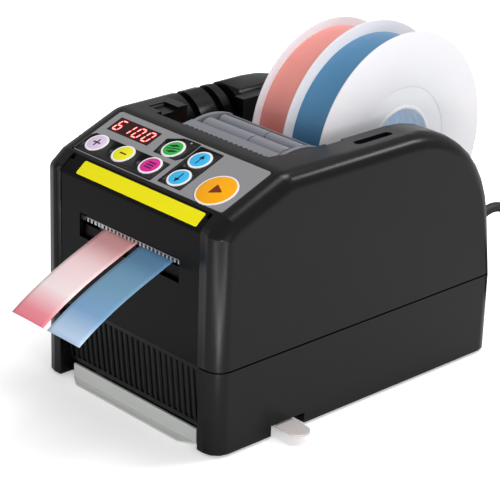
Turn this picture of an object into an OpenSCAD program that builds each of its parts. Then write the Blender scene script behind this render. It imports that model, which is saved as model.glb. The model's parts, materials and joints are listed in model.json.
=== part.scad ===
// Electric tape dispenser: a desktop machine that feeds ribbon or tape from spools,
// cuts it to length and hands it out through a slot in the front.
// +X is to the right, +Y to the rear, +Z up; the origin is on the table, under the housings' centre.

/* [Body] */
// Width of the housings
body_w = 140; // [134:1:148]
// Length of the housings, front to rear
body_l = 210; // [206:1:216]
// Height of the side rails above the table
rail_h = 144; // [143:0.5:147]
// Height of the parting line between the two housings
split_h = 48; // [46:1:50]
// Wall of the moulded housings
wall = 2.6; // [2.2:0.1:3]
// Radius of the housings' long outer edges
edge_r = 9; // [7:0.5:10]
// Radius of the rounded rear top
rear_r = 68; // [66:1:70]
// Lean of the rear wall above the parting line
rear_lean = 8; // [6:1:9]
// Height of the rubber feet
foot_h = 1.5; // [1:0.1:2.5]
// Height and depth of the shadow gap at the parting line
shadow_gap = 1; // [0.6:0.1:1.4]

/* [Panel] */
// Distance from the front face back to the crest of the panel
crest_in = 46.8; // [46:0.2:48]
// Length of the sloped panel, up the slope
panel_len = 40.1; // [39.6:0.1:41]
// Tilt of the sloped panel
panel_tilt = 21.5; // [20:0.5:23]
// Tilt of the band below the panel
band_tilt = 38; // [34:1:42]
// Width of the overlay
overlay_w = 117; // [115:1:118]
// Length of the overlay, up the slope
overlay_len = 36; // [35.4:0.2:36.4]
// Thickness of the overlay
overlay_t = 1; // [0.8:0.1:1.2]
// Radius of the small keys
key_r = 6.7; // [6:0.1:7]
// Radius of the large start key
start_r = 11.7; // [10.5:0.1:12]
// Travel of the keys
key_travel = 0.5; // [0.3:0.1:0.6]
// Width and height of the display window
display_size = [33, 11.5];

/* [Outlet] */
// Half width of the front cover
cover_half = 54.7; // [53:0.1:56]
// Width of the outlet
outlet_w = 79; // [76:1:82]
// Depth of the outlet's lower edge below the rails
outlet_drop = 55.5; // [54:0.5:57]
// Height of the outlet
outlet_h = 13.5; // [13:0.5:15]
// Depth below the rails at which the ribbon leaves the front face
ribbon_drop = 48.8; // [48:0.1:49.5]
// Slope of the ribbon where it leaves the outlet
chute_tilt = 21; // [20:0.5:22]
// Slope of the ribbon where it leaves the feed roller
chute_top_tilt = 30; // [29:0.5:31]
// Number of ribs on the lower front
grille_ribs = 24; // [18:1:26]

/* [Ribbon] */
// Centre of the ribbon path, from the middle of the machine
path_x = 4; // [3:0.5:5]
// Width of one ribbon
ribbon_w = 25.4; // [24:0.2:25.6]
// Thickness of one ribbon
ribbon_t = 0.3; // [0.2:0.05:0.4]
// Distance between the centres of the two spools
spool_pitch = 28.8; // [28.8:0.1:29.2]
// Radius of the right spool's flanges
flange_r = 64; // [62:0.5:64.5]
// Radius of the left spool's flanges
left_flange_r = 59; // [57:0.5:62]
// Thickness of a spool flange
flange_t = 1.2; // [1:0.1:1.3]
// Radius of the ribbon wound on the right spool
winding_r = 56; // [54:0.5:58]
// Radius of the ribbon wound on the left spool
left_winding_r = 53; // [52:0.5:55]
// Radius of the spool's bore
spool_bore_r = 21; // [19:0.5:22]
// Length of ribbon outside the outlet
strip_len = 69; // [50:1:70]

/* [Feed] */
// Radius of the rubber feed roller
feed_r = 10; // [9.5:0.1:10.4]
// Radius of the press roller
press_r = 6.5; // [6:0.1:6.7]
// Radius of the guide roller behind it
guide_r = 4; // [3.5:0.1:4.2]
// Teeth on the feed gear
feed_teeth = 30; // [28:1:31]
// Teeth on the motor pinion
pinion_teeth = 13; // [13:1:14]
// Module of the feed gears
gear_m = 1; // [0.98:0.01:1.02]
// Radius of the feed motor
feed_motor_r = 10.8; // [9:0.1:10.8]

/* [Cutter] */
// Throw of the cutter crank
crank_r = 6; // [5.5:0.1:6.2]
// Angle that the crank rests above the horizontal
crank_up = 35; // [30:1:36]
// Depth of the crank's axis below the rails
crank_drop = 78; // [77:0.5:80]

/* [Cord] */
// Radius of the mains lead
cord_r = 3; // [2.8:0.1:3.2]
// Radius of the coil's outermost turn
coil_r = 43; // [41:0.5:44]
// Distance between neighbouring turns
coil_pitch = 6.5; // [6.5:0.1:6.6]

/* [Hidden] */
$fn = 48;

// Clearance between pieces that pass each other
gap = 0.3;
// Clearance of a shaft in its bore
fit = 0.05;
eps = 0.01;

half_w = body_w / 2;
front_y = -body_l / 2;
rear_y = body_l / 2;
base_z = foot_h;
outlet_z = rail_h - outlet_drop;
ribbon_z = rail_h - ribbon_drop;
crank_z = rail_h - crank_drop;

// Corners of the side view as [y, z, radius], anticlockwise seen from the right
crest = [front_y + crest_in, rail_h];
panel_foot = crest - panel_len * [cos(panel_tilt), sin(panel_tilt)];
band_foot = [front_y, panel_foot.y - (panel_foot.x - front_y) * tan(band_tilt)];
rear_foot = [rear_y, split_h];
rear_top = [rear_y - (rail_h - split_h) * tan(rear_lean), rail_h];
below = -30;
side_view = [
    [[front_y, below], 0], [[rear_y, below], 0], [rear_foot, 0], [rear_top, rear_r],
    [crest, 16], [panel_foot, 2], [band_foot, 5]
];

function unit(v) = v / norm(v);
function left_of(v) = [-v.y, v.x];
function cross2(a, b) = a.x * b.y - a.y * b.x;
function wrap(i) = (i + len(side_view)) % len(side_view);
function corner(i) = side_view[wrap(i)][0];
function edge_dir(i) = unit(corner(i + 1) - corner(i));

// Corner i of the side view after every edge has moved inwards by d
function inset_corner(i, d) =
    let (u = edge_dir(i - 1), v = edge_dir(i))
    let (p = corner(i) + left_of(u) * d, q = corner(i) + left_of(v) * d)
    p + u * cross2(q - p, v) / cross2(u, v);

// Points of one rounded corner
function corner_arc(i, d) =
    let (r = max(side_view[wrap(i)][1] - d, 0), b = inset_corner(i, d))
    let (u = edge_dir(i - 1), v = edge_dir(i))
    let (turn = acos(min(u * v, 1)), t = r * tan(turn / 2))
    let (centre = b - u * t + left_of(u) * r)
    let (n = max(1, ceil(turn * sqrt(side_view[wrap(i)][1]) / 80)))
    r == 0 ? [b] : [for (k = [0:n])
        centre - left_of(u) * r * cos(turn * k / n) + u * r * sin(turn * k / n)];

function side_points(d) = [for (i = [0:len(side_view) - 1]) each corner_arc(i, d)];

// Lays a drawing of the side view across the machine, from x0 to x1
module across(x0, x1) {
    translate([x0, 0, 0])
        rotate([90, 0, 90])
            linear_extrude(x1 - x0) children();
}

// A shaft or disc that lies across the machine
module cross_rod(x0, x1, y, z, r) {
    translate([x0, y, z]) rotate([0, 90, 0]) cylinder(h = x1 - x0, r = r);
}

// A rod along the machine, from y0 to y1
module long_rod(x, y0, y1, z, r) {
    translate([x, y0, z]) rotate([-90, 0, 0]) cylinder(h = y1 - y0, r = r);
}

module block(x0, x1, y0, y1, z0, z1) {
    translate([x0, y0, z0]) cube([x1 - x0, y1 - y0, z1 - z0]);
}

// The housings' rounded outer form, every face moved inwards by d
edge_steps = 3;
module body_form(d) {
    r = edge_r - d;
    hull()
        for (k = [0:edge_steps], side = [-1, 1]) {
            a = 90 * k / edge_steps;
            x = side * (half_w - edge_r + r * sin(a));
            translate([x - eps / 2, 0, 0])
                rotate([90, 0, 90])
                    linear_extrude(eps) polygon(side_points(d + r * (1 - cos(a))));
        }
}

// Work on the sloped panel: x across, y up the slope from its foot, z out of its face
module on_panel() {
    translate([0, panel_foot.x, panel_foot.y]) rotate([panel_tilt, 0, 0]) children();
}

overlay_s = [1.4, 1.4 + overlay_len];
key_row = overlay_s[0] + 9.6;
arrow_row = key_row + 15.9;
key_places = [
    [-49, key_row, key_r], [-27.6, key_row, key_r], [-6, key_row, key_r],
    [-5.2, arrow_row, key_r], [15.6, arrow_row, key_r], [16.4, key_row, key_r],
    [42.7, key_row + 2, start_r]
];
display_place = [-37.5, overlay_s[0] + 26.4];
led_place = [0.4, overlay_s[0] + 33.5];
led_r = 1.5;

// The bay between the rails that takes the rollers and the spools
hub_y = front_y + 166;
hub_z = rail_h - 22;
bay_left = -43;
bay_left_rear = -35;
bay_right = 47;
bay_front = crest.x + 8.2;
well_rear = front_y + 97;
cradle_r = flange_r + 4;
cradle_floor = rail_h - 52;
bay_rear = hub_y + cradle_r + 5;
sky = rail_h + 30;

module bay_plan(grow) {
    polygon([
        [bay_left - grow, bay_front - grow], [bay_right - 4 + grow, bay_front - grow],
        [bay_right + grow, bay_front + 18], [bay_right + grow, bay_rear],
        [bay_left_rear - grow, bay_rear], [bay_left_rear - grow, ledge_y - grow],
        [bay_left - grow, ledge_y - grow]
    ]);
}

// Side view of the bay; the well under the rollers is open below
module bay_side(grow, well_floor) {
    translate([hub_y, hub_z]) circle(r = cradle_r + grow);
    translate([well_rear - grow, cradle_floor - grow])
        square([hub_y - well_rear + grow, sky - cradle_floor + grow]);
    translate([hub_y, hub_z]) square([bay_rear - hub_y, sky - hub_z]);
    translate([bay_front - grow, well_floor])
        square([well_rear - bay_front + 2 * grow, sky - well_floor]);
}

ledge_y = 6;
ledge_drop = 2;
ledge_w = 10;
shoulder_r = 20;
shoulder_lift = 0.15;
shoulder_y = [-28, 12];
shoulder_x = bay_left - shoulder_r;
shoulder_z = rail_h - shoulder_r;
shoulder_slots = [-17.2, -0.6, 9.6];
slot_w = 4.6;
slot_deep = 4;
well_wall_z = rail_h - 20.4;
gear_room_z = rail_h - 3.2;

// Left rail: the rounded shoulder, cut by three slots
module shoulder_block() {
    block(shoulder_x - 3, bay_left, shoulder_y[0] - wall, shoulder_y[1] + wall,
          shoulder_z - 6, sky);
}

module shoulder_cut() {
    difference() {
        block(shoulder_x, bay_left + 1, shoulder_y[0], shoulder_y[1], shoulder_z, sky);
        long_rod(shoulder_x, shoulder_y[0] - 1, shoulder_y[1] + 1, shoulder_z,
                 shoulder_r + shoulder_lift);
    }
    for (y = shoulder_slots)
        difference() {
            union() {
                block(shoulder_x, bay_left + 1, y - slot_w / 2, y + slot_w / 2, shoulder_z, sky);
                block(-half_w, shoulder_x + 1, y - slot_w / 2, y + slot_w / 2,
                      rail_h - slot_deep, sky);
            }
            long_rod(shoulder_x, y - slot_w, y + slot_w, shoulder_z,
                     shoulder_r - slot_deep + shoulder_lift);
        }
    intersection() {
        long_rod(shoulder_x, shoulder_y[0], shoulder_y[1], shoulder_z,
                 shoulder_r - slot_deep - 2);
        block(-half_w + wall, 0, shoulder_y[0], shoulder_y[1], 0, sky);
    }
}

// Pads under the recesses in the rails, so that the skin keeps its wall
recess_deep = 2;
pocket = [-54, bay_left, bay_front + 4, bay_front + 15.6];
finger_slot = [56.3, 13.5, 27, 5];
module rail_pads() {
    block(pocket[0] - wall, pocket[1], pocket[2] - wall, pocket[3] + wall,
          rail_h - recess_deep - wall, sky);
    block(bay_left_rear - ledge_w - wall, bay_left_rear, ledge_y - wall, hub_y,
          rail_h - ledge_drop - wall, sky);
    block(bay_right, finger_slot[0] + finger_slot[3] + wall,
          finger_slot[1] - finger_slot[2] / 2 - wall,
          finger_slot[1] + finger_slot[2] / 2 + wall,
          rail_h - recess_deep - wall, sky);
}

module rail_recesses() {
    block(pocket[0], pocket[1] + 1, pocket[2], pocket[3], rail_h - recess_deep, sky);
    block(bay_left_rear - ledge_w, bay_left_rear + 1, ledge_y, bay_rear,
          rail_h - ledge_drop, sky);
    translate([finger_slot[0], finger_slot[1], rail_h - recess_deep])
        linear_extrude(sky) slot_shape(finger_slot[3], finger_slot[2]);
    block(bay_right - 1, bay_right + 1.6, -13, -1, rail_h - recess_deep, sky);
}

// A slot with round ends, w wide and l long, along y
module slot_shape(w, l) {
    square([w, l - w], center = true);
    for (side = [-1, 1]) translate([0, side * (l - w) / 2]) circle(d = w);
}

// Seats for the reel spindle: an open-topped notch on the left and a blind hole on the right
spindle_r = 4;
seat_t = 6;
module seat_blocks() {
    for (x = [bay_left_rear - seat_t, bay_right])
        block(x, x + seat_t, hub_y - 9, hub_y + 9, hub_z - 12, hub_z + 8);
}

module seat_notches() {
    for (x = [bay_left_rear - seat_t + 2, bay_right - 1])
        cross_rod(x, x + seat_t - 1, hub_y, hub_z, spindle_r + fit);
    block(bay_left_rear - seat_t + 2, bay_left_rear + 1, hub_y - spindle_r - fit,
          hub_y + spindle_r + fit, hub_z, sky);
}

cover_top = panel_foot.x - 0.7;
opening_half = cover_half + gap;
module cover_opening() {
    block(-opening_half, opening_half, front_y - 5, cover_top + gap, 0, sky);
}

module pillar_walls() {
    for (side = [-1, 1])
        translate([side * (opening_half + wall / 2 - eps), front_y, (below + sky) / 2])
            cube([wall, 32, sky - below], center = true);
}

boss_in = 6.5;
boss_places = [for (x = [-half_w + boss_in, half_w - boss_in], y = [-84, 84]) [x, y]];
boss_r = 4.6;
screw_r = 1.5;
head_r = 2.9;
head_z = split_h - 14;
screw_top = split_h + 12;

gland_x = 27;
gland_z = split_h + 7.5;
gland_r = 4.2;
gland_wall_y = rear_y - (gland_z - split_h) * tan(rear_lean);

post_r = 2.6;
board_h = -12;
board_t = 1.6;
board_half = 57.4;
board_s = [overlay_s[0] + 2, overlay_s[1] - 0.6];
post_places = [
    [(key_places[0].x + key_places[1].x) / 2, board_s[0] + 2.8],
    [-55.4, key_row + 9], [28.6, board_s[0] + 2.4], [55, board_s[1] - 3.6]
];
sunk_panel = -overlay_t - (wall - overlay_t);

// What the hollow of the upper housing leaves standing
module upper_inside() {
    on_panel()
        for (p = post_places)
            translate([p.x, p.y, board_h]) cylinder(h = 30, r = post_r);
    pillar_walls();
    intersection() {
        translate([0, 0, below]) linear_extrude(sky - below) bay_plan(wall);
        across(-half_w, half_w) bay_side(wall, well_wall_z);
    }
    shoulder_block();
    rail_pads();
    seat_blocks();
    for (p = boss_places)
        translate([p.x, p.y, split_h]) cylinder(h = screw_top - split_h + 3, r = boss_r);
}

module upper_housing() {
    color("#2b2b2d")
        difference() {
            body_form(0);
            difference() {
                body_form(wall);
                upper_inside();
            }
            cover_opening();
            // Everything below the parting line belongs to the lower housing
            block(-half_w - 5, half_w + 5, front_y - 5, rear_y + 5, below - 5,
                  split_h + shadow_gap / 2);
            intersection() {
                translate([0, 0, below]) linear_extrude(sky - below + 1) bay_plan(0);
                across(-half_w, half_w) bay_side(0, below);
            }
            block(bay_right - 5, bay_right + wall + 1, bay_front - wall - 1,
                  well_rear - wall - 0.4, well_wall_z - 1, gear_room_z);
            shoulder_cut();
            rail_recesses();
            seat_notches();
            panel_cuts();
            long_rod(gland_x, rear_y - 20, rear_y + 5, gland_z, gland_r);
            for (p = boss_places)
                translate([p.x, p.y, split_h]) cylinder(h = screw_top - split_h, r = screw_r);
        }
}

// The overlay's seat, the key holes, the display window and the board's screw holes
module panel_cuts() {
    on_panel() {
        translate([-overlay_w / 2 - gap, overlay_s[0] - gap, -overlay_t])
            cube([overlay_w + 2 * gap, overlay_len + 2 * gap, 20]);
        for (k = key_places)
            translate([k[0], k[1], sunk_panel - 2]) cylinder(h = 10, r = k[2] + gap);
        translate([display_place.x, display_place.y, 0])
            cube([display_size.x - 2, display_size.y - 1, 14], center = true);
        translate([led_place.x, led_place.y, sunk_panel - 2]) cylinder(h = 10, r = led_r + gap);
        for (p = post_places)
            translate([p.x, p.y, board_h - 1]) cylinder(h = 7, r = 1);
    }
}

floor_t = 2.6;
floor_z = base_z + floor_t;
leg_depth = 13;
leg_half = opening_half + 1;
grille_top_in = 1.6;
grille_foot_in = 5.6;
switch_place = [-38, 26];
switch_cut = [19.4, 13];
lever_pivot_place = [52, -56];
lever_z = base_z + floor_t + 0.6;
lever_t = 1.5;
notch_y = [-66, -42];

// What the hollow of the lower housing leaves standing
module lower_inside() {
    block(-half_w, half_w, front_y, rear_y, below, floor_z);
    for (side = [-1, 1])
        block(side < 0 ? -half_w : leg_half, side < 0 ? -leg_half : half_w,
              front_y, front_y + leg_depth, below, sky);
    for (p = boss_places)
        translate([p.x, p.y, base_z]) cylinder(h = split_h - base_z, r = boss_r);
    translate([lever_pivot_place.x, lever_pivot_place.y, base_z])
        cylinder(h = lever_z - base_z - 0.1, r = 5);
}

module lower_housing() {
    color("#222224")
        difference() {
            body_form(0);
            difference() {
                body_form(wall);
                lower_inside();
            }
            block(-leg_half, leg_half, front_y - 5, front_y + grille_foot_in + 3,
                  below - 5, sky + 10);
            block(-half_w - 5, half_w + 5, front_y - 5, rear_y + 5, below - 5, base_z);
            // Shadow gap: only a thin lip goes on above it
            difference() {
                block(-half_w - 5, half_w + 5, front_y - 5, rear_y + 5,
                      split_h - shadow_gap / 2, sky + 5);
                body_form(shadow_gap);
            }
            block(-half_w - 5, half_w + 5, front_y - 5, rear_y + 5,
                  split_h + shadow_gap / 2 - eps, sky + 5);
            for (p = boss_places)
                translate([p.x, p.y, base_z - 1]) {
                    cylinder(h = head_z - base_z + 1, r = head_r + gap);
                    cylinder(h = split_h, r = screw_r + 0.2);
                }
            // Window of the lever in the right side
            block(half_w - wall - 1, half_w + 1, notch_y[0], notch_y[1], below, base_z + 6);
            block(lever_pivot_place.x + 6, half_w + 1, notch_y[0], notch_y[1], below,
                  floor_z + 1);
            translate([lever_pivot_place.x, lever_pivot_place.y, base_z + 1])
                cylinder(h = 10, r = 2);
            // Cut-out of the power switch and the vents
            block(switch_place.x - switch_cut.x / 2, switch_place.x + switch_cut.x / 2,
                  rear_y - 5, rear_y + 5, switch_place.y - switch_cut.y / 2,
                  switch_place.y + switch_cut.y / 2);
            for (k = [0:7])
                translate([2 + 6 * k, rear_y, 26]) rotate([90, 0, 0])
                    linear_extrude(10, center = true) slot_shape(2.6, 18);
            for (x = [-half_w + 20, half_w - 20], y = [front_y + 26, rear_y - 24])
                translate([x, y, base_z - 1]) cylinder(h = 2, r = 6);
        }
}

cover_in = 0.4;
cover_t = 2.4;
module front_cover() {
    color("#1d1d1f")
        difference() {
            across(-cover_half, cover_half)
                difference() {
                    polygon(side_points(cover_in));
                    polygon(side_points(cover_in + cover_t));
                    translate([front_y - 5, below - 5])
                        square([body_l + 10, split_h + shadow_gap / 2 - below + 5]);
                    translate([cover_top, below]) square([body_l, sky - below]);
                }
            block(-outlet_w / 2, outlet_w / 2, front_y - 5, front_y + 10, outlet_z,
                  outlet_z + outlet_h);
            // Finger notches at the cover's two upper corners
            for (side = [-1, 1])
                translate([side * cover_half, cover_top, 0])
                    cube([5, 5, 2 * sky], center = true);
        }
}

grille_lean = atan((grille_foot_in - grille_top_in) / (split_h - 10));
grille_frame = 3;
module front_grille() {
    grille_z = base_z + 9;
    w = 2 * (leg_half - gap);
    h = (split_h - shadow_gap / 2 - grille_z) / cos(grille_lean);
    rib_pitch = (w - 2 * grille_frame) / grille_ribs;
    color("#262628")
        translate([0, front_y + grille_foot_in, grille_z])
            rotate([grille_lean, 0, 0])
                difference() {
                    translate([-w / 2, 0, 0]) cube([w, 2.4, h]);
                    for (k = [0:grille_ribs - 1])
                        translate([-w / 2 + grille_frame + rib_pitch * (k + 0.22), -1,
                                   grille_frame])
                            cube([rib_pitch * 0.56, 2, h - 2 * grille_frame]);
                }
}

bar_half = 50;
bar_h = 9.2;
bar_y = front_y + 4.6;
bar_t = 1.5;
bar_rear = front_y + 19.4;
lip_out = 5;
// Steel plate under the front, with an upstand and a lip that shows below the grille
module base_plate() {
    color("#a9aba9") {
        difference() {
            union() {
                block(-bar_half, bar_half, bar_y, bar_y + bar_t, 0.3, bar_h);
                translate([0, bar_y, 0.3])
                    linear_extrude(1.1)
                        polygon([
                            [-bar_half, bar_t], [-bar_half, 0], [-bar_half + 8, -lip_out],
                            [bar_half - 8, -lip_out], [bar_half, 0], [bar_half, bar_t]
                        ]);
                block(-bar_half, bar_half, bar_y, bar_rear, 0.3, base_z - 0.05);
            }
            for (x = [-30, 30])
                translate([x, bar_rear - 5, -1]) cylinder(h = 5, r = 1.7);
        }
    }
}

module rubber_feet() {
    color("#151515")
        for (x = [-half_w + 20, half_w - 20], y = [front_y + 26, rear_y - 24])
            difference() {
                translate([x, y, 0]) cylinder(h = base_z + 1, r = 6);
                translate([x, y, -1]) cylinder(h = 1.6, r = 2);
            }
}

module housing_screws() {
    color("#8d8d90")
        for (p = boss_places)
            translate([p.x, p.y, head_z - 2.4])
                difference() {
                    union() {
                        cylinder(h = 2.4, r = head_r);
                        translate([0, 0, 2.4]) cylinder(h = screw_top - head_z - 1, r = screw_r);
                    }
                    translate([0, 0, -1]) {
                        cube([3.4, 0.7, 4], center = true);
                        cube([0.7, 3.4, 4], center = true);
                    }
                }
}

overlay_corner = 2;
module overlay_shape(shrink) {
    x = overlay_w / 2 - overlay_corner;
    translate([-overlay_w / 2 + shrink, overlay_corner])
        square([overlay_w - 2 * shrink, overlay_len - 2 * overlay_corner]);
    translate([-x, shrink]) square([2 * x, overlay_len - 2 * shrink]);
    for (side = [-1, 1], s = [overlay_corner, overlay_len - overlay_corner])
        translate([side * x, s]) circle(r = overlay_corner - shrink);
}

module panel_overlay() {
    color("#a2a2a4")
        on_panel()
            difference() {
                translate([0, overlay_s[0], -overlay_t])
                    linear_extrude(overlay_t) overlay_shape(0);
                for (k = key_places)
                    translate([k[0], k[1], -5]) cylinder(h = 10, r = k[2] + 0.25);
                translate([display_place.x, display_place.y, 0])
                    cube([display_size.x, display_size.y, 10], center = true);
                translate([led_place.x, led_place.y, -5]) cylinder(h = 10, r = led_r + 0.15);
            }
}

strip_label = [94, 8.6];
module yellow_strip() {
    mid = (panel_foot + band_foot) / 2;
    color("#f6ea20")
        translate([3.5, mid.x, mid.y])
            rotate([band_tilt, 0, 0])
                translate([-strip_label.x / 2, -strip_label.y / 2 - 0.6, -cover_in + 0.02])
                    cube([strip_label.x, strip_label.y, 0.3]);
}

module display_window() {
    color("#5a0d10")
        on_panel()
            translate([display_place.x, display_place.y, -overlay_t / 2 + 0.05])
                cube([display_size.x - 0.1, display_size.y - 0.1, overlay_t - 0.1], center = true);
}

module digit_display() {
    color("#1a0a0a")
        on_panel()
            translate([display_place.x - 15, display_place.y - 5, board_h])
                difference() {
                    cube([30, 10, -board_h - overlay_t - 0.4]);
                    for (k = [0:3])
                        translate([2 + 7 * k, 1.6, -board_h - overlay_t - 1])
                            difference() {
                                cube([4.6, 6.8, 2]);
                                translate([1, 1, -1]) cube([2.6, 1.9, 4]);
                                translate([1, 3.9, -1]) cube([2.6, 1.9, 4]);
                            }
                }
}

module status_led() {
    color("#401818")
        on_panel()
            translate([led_place.x, led_place.y, board_h]) {
                cylinder(h = -board_h - 1.2, r = led_r - 0.1);
                translate([0, 0, -board_h - 1.2]) sphere(r = led_r - 0.1);
                cylinder(h = 7, r = led_r + 0.4);
            }
}

switch_h = 4.3;
plunger_r = 1.6;
module key_board() {
    color("#2f6b3a")
        on_panel()
            difference() {
                union() {
                    translate([-board_half, board_s[0], board_h - board_t])
                        cube([2 * board_half, board_s[1] - board_s[0], board_t]);
                    for (k = key_places)
                        translate([k[0], k[1], board_h + switch_h / 2])
                            cube([6, 6, switch_h], center = true);
                }
                for (k = key_places)
                    translate([k[0], k[1], board_h + switch_h - 1.6])
                        cylinder(h = 5, r = plunger_r + gap);
                for (p = post_places)
                    translate([p.x, p.y, board_h - board_t - 1]) cylinder(h = 5, r = 1.6);
            }
}

module key_board_screws() {
    color("#9a9a9c")
        on_panel()
            for (p = post_places)
                translate([p.x, p.y, board_h - board_t - 1.6]) {
                    cylinder(h = 1.6, r = 2.4);
                    translate([0, 0, 1.6]) cylinder(h = board_t + 4, r = 0.95);
                }
}

// A key: its cap, the flange that keeps it in and the plunger of its switch
module key(k, tint) {
    color(tint)
        on_panel()
            translate([k[0], k[1], 0]) {
                translate([0, 0, sunk_panel - 0.1]) cylinder(h = 0.3 - sunk_panel + 0.1, r = k[2]);
                translate([0, 0, sunk_panel - 1.3]) cylinder(h = 1.2, r = k[2] + 1);
                translate([0, 0, board_h + switch_h - 0.8])
                    cylinder(h = sunk_panel - 1.3 - board_h - switch_h + 0.8, r = plunger_r);
            }
}

module key_plus() { key(key_places[0], "#e0cfe6"); }
module key_minus() { key(key_places[1], "#f3ee2a"); }
module key_select() { key(key_places[2], "#e0309a"); }
module key_mode() { key(key_places[3], "#3cb554"); }
module key_up() { key(key_places[4], "#40c0f0"); }
module key_down() { key(key_places[5], "#40c0f0"); }
module key_start() { key(key_places[6], "#ffb400"); }

// The ribbon's way: it comes up from under the spools, turns over the feed roller
// and runs down the chute, straight out of the front
feed_y = front_y + 74;
ribbon_gap = 0.2;
turn_r = feed_r + ribbon_gap + ribbon_t / 2;
chute_run = feed_y - turn_r * sin(chute_top_tilt) - front_y;
bend = tan(chute_top_tilt) - tan(chute_tilt);
function chute_rise(d) = d * tan(chute_tilt) + bend * pow(max(d, 0), 2) / (2 * chute_run);
function chute_slope(d) = atan(tan(chute_tilt) + bend * max(d, 0) / chute_run);
feed_z = ribbon_z + chute_rise(chute_run) - turn_r * cos(chute_top_tilt);
to_hub = [hub_y - feed_y, hub_z - feed_z];
press_z = feed_z + turn_r + ribbon_t / 2 + ribbon_gap + press_r;

module ribbon_band(points, x0) {
    n = len(points) - 1;
    dirs = [for (i = [0:n]) unit(points[min(i + 1, n)] - points[max(i - 1, 0)])];
    across(x0, x0 + ribbon_w)
        polygon([
            for (i = [0:n]) points[i] + left_of(dirs[i]) * ribbon_t / 2,
            for (i = [n:-1:0]) points[i] - left_of(dirs[i]) * ribbon_t / 2
        ]);
}

// Point of the chute at y, moved off the ribbon's middle by out
function chute_point(y, out = 0) =
    let (d = y - front_y, a = chute_slope(d))
    [y, ribbon_z + chute_rise(d)] + out * [-sin(a), cos(a)];
cut_y = front_y + 7.2;
cut_in = cut_y + 0.6 - front_y;

// Slope of the ribbon between a roll of radius r and the feed roller
function web_tilt(r) = asin((turn_r + r) / norm(to_hub)) - atan2(to_hub.y, to_hub.x);
function web_points(wound_r) =
    let (r = wound_r + ribbon_gap + ribbon_t / 2)
    let (tilt = web_tilt(r))
    [
        [hub_y, hub_z] - r * [sin(tilt), cos(tilt)],
        for (k = [0:8])
            let (a = tilt + (-chute_top_tilt - tilt) * k / 8)
            [feed_y, feed_z] + turn_r * [sin(a), cos(a)],
        for (k = [1:6]) chute_point(front_y + chute_run - (chute_run - cut_in) * k / 6)
    ];
spool_centres = [path_x - spool_pitch / 2, path_x + spool_pitch / 2];
wound_radii = [left_winding_r, winding_r];

module ribbon_webs() {
    color("#c98f9c")
        for (i = [0, 1])
            ribbon_band(web_points(wound_radii[i]), spool_centres[i] - ribbon_w / 2);
}

// The cut ends that stick out of the front and sag a little
strip_sag = 5;
strip_steps = 10;
strip_start = chute_point(cut_y - 1.6);
strip_points = [
    for (k = [0:strip_steps])
        let (s = strip_len * k / strip_steps)
        let (a = chute_tilt + strip_sag * pow(k / strip_steps, 2))
        strip_start - s * [cos(a), sin(a)]
];
module ribbon_strips() {
    color("#c98f9c")
        for (x = spool_centres) ribbon_band(strip_points, x - ribbon_w / 2);
}

// Side plates of the feed and cutter unit
plate_t = 2;
left_plate_x = -30;
right_plate_x = 43.2;
plate_inner = [left_plate_x + plate_t, right_plate_x];
pivot = [front_y + 63, rail_h - 7.5];
bush_r = 5;
shaft_r = 3;
pinion_angle = 50;
gear_distance = gear_m * (feed_teeth + pinion_teeth) / 2 + 0.1;
motor_place = [feed_y - gear_distance * sin(pinion_angle),
               feed_z - gear_distance * cos(pinion_angle)];
plate_front = front_y + 7;
plate_rear = well_rear - wall - 1.4;

module plate_side(holes) {
    difference() {
        union() {
            polygon([
                [plate_front + 2, floor_z], [plate_rear, floor_z], [plate_rear, feed_z + 2],
                [feed_y + 7, feed_z + 8], [pivot.x + 4, feed_z + 10],
                [pivot.x + 3.4, pivot.y], [pivot.x - 3.4, pivot.y],
                [bay_front + 0.6, well_wall_z - 1], [panel_foot.x + 40, well_wall_z - 1.4],
                [panel_foot.x + 8, panel_foot.y - 17.5], [plate_front, panel_foot.y - 17.5],
                [plate_front, split_h - 14], [plate_front + 2, base_z + 9]
            ]);
            translate(pivot) circle(r = 3.4);
        }
        translate(pivot) circle(r = 2);
        translate([feed_y, feed_z]) circle(r = bush_r);
        if (holes) translate(motor_place) circle(r = 4);
        translate([front_y + 27, 40]) circle(r = 12);
        translate([front_y + 65, 45]) circle(r = 18);
    }
}

module chassis_left() {
    color("#9fa3a6") {
        across(left_plate_x, left_plate_x + plate_t) plate_side(false);
        block(left_plate_x - 10, left_plate_x + eps, plate_front, plate_rear, floor_z,
              floor_z + 1.5);
    }
}

module chassis_right() {
    color("#9fa3a6") {
        across(right_plate_x, right_plate_x + plate_t) plate_side(true);
        block(right_plate_x + plate_t - eps, right_plate_x + plate_t + 4, plate_front,
              -68, floor_z, floor_z + 1.5);
        block(right_plate_x + plate_t - eps, right_plate_x + plate_t + 10, -38, plate_rear,
              floor_z, floor_z + 1.5);
    }
}

module bush(x, out) {
    difference() {
        union() {
            cross_rod(x, x + plate_t, feed_y, feed_z, bush_r);
            cross_rod(out < 0 ? x - 1 : x + plate_t, out < 0 ? x : x + plate_t + 1,
                      feed_y, feed_z, bush_r + 1.5);
        }
        cross_rod(x - 5, x + 9, feed_y, feed_z, shaft_r + fit);
    }
}

module feed_bushes() {
    color("#b78a3a") {
        bush(left_plate_x, -1);
        bush(right_plate_x, 1);
    }
}

roller_x = [path_x - 27.6, path_x + 34.6];
module feed_roller() {
    color("#4b4b4d")
        difference() {
            cross_rod(roller_x[0], roller_x[1], feed_y, feed_z, feed_r);
            cross_rod(roller_x[0] - 1, roller_x[1] + 1, feed_y, feed_z, shaft_r);
            for (k = [0:8])
                difference() {
                    cross_rod(roller_x[0] + 3 + 7 * k, roller_x[0] + 4.2 + 7 * k, feed_y, feed_z,
                              feed_r + 1);
                    cross_rod(roller_x[0], roller_x[1], feed_y, feed_z, feed_r - 0.6);
                }
        }
}

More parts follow.
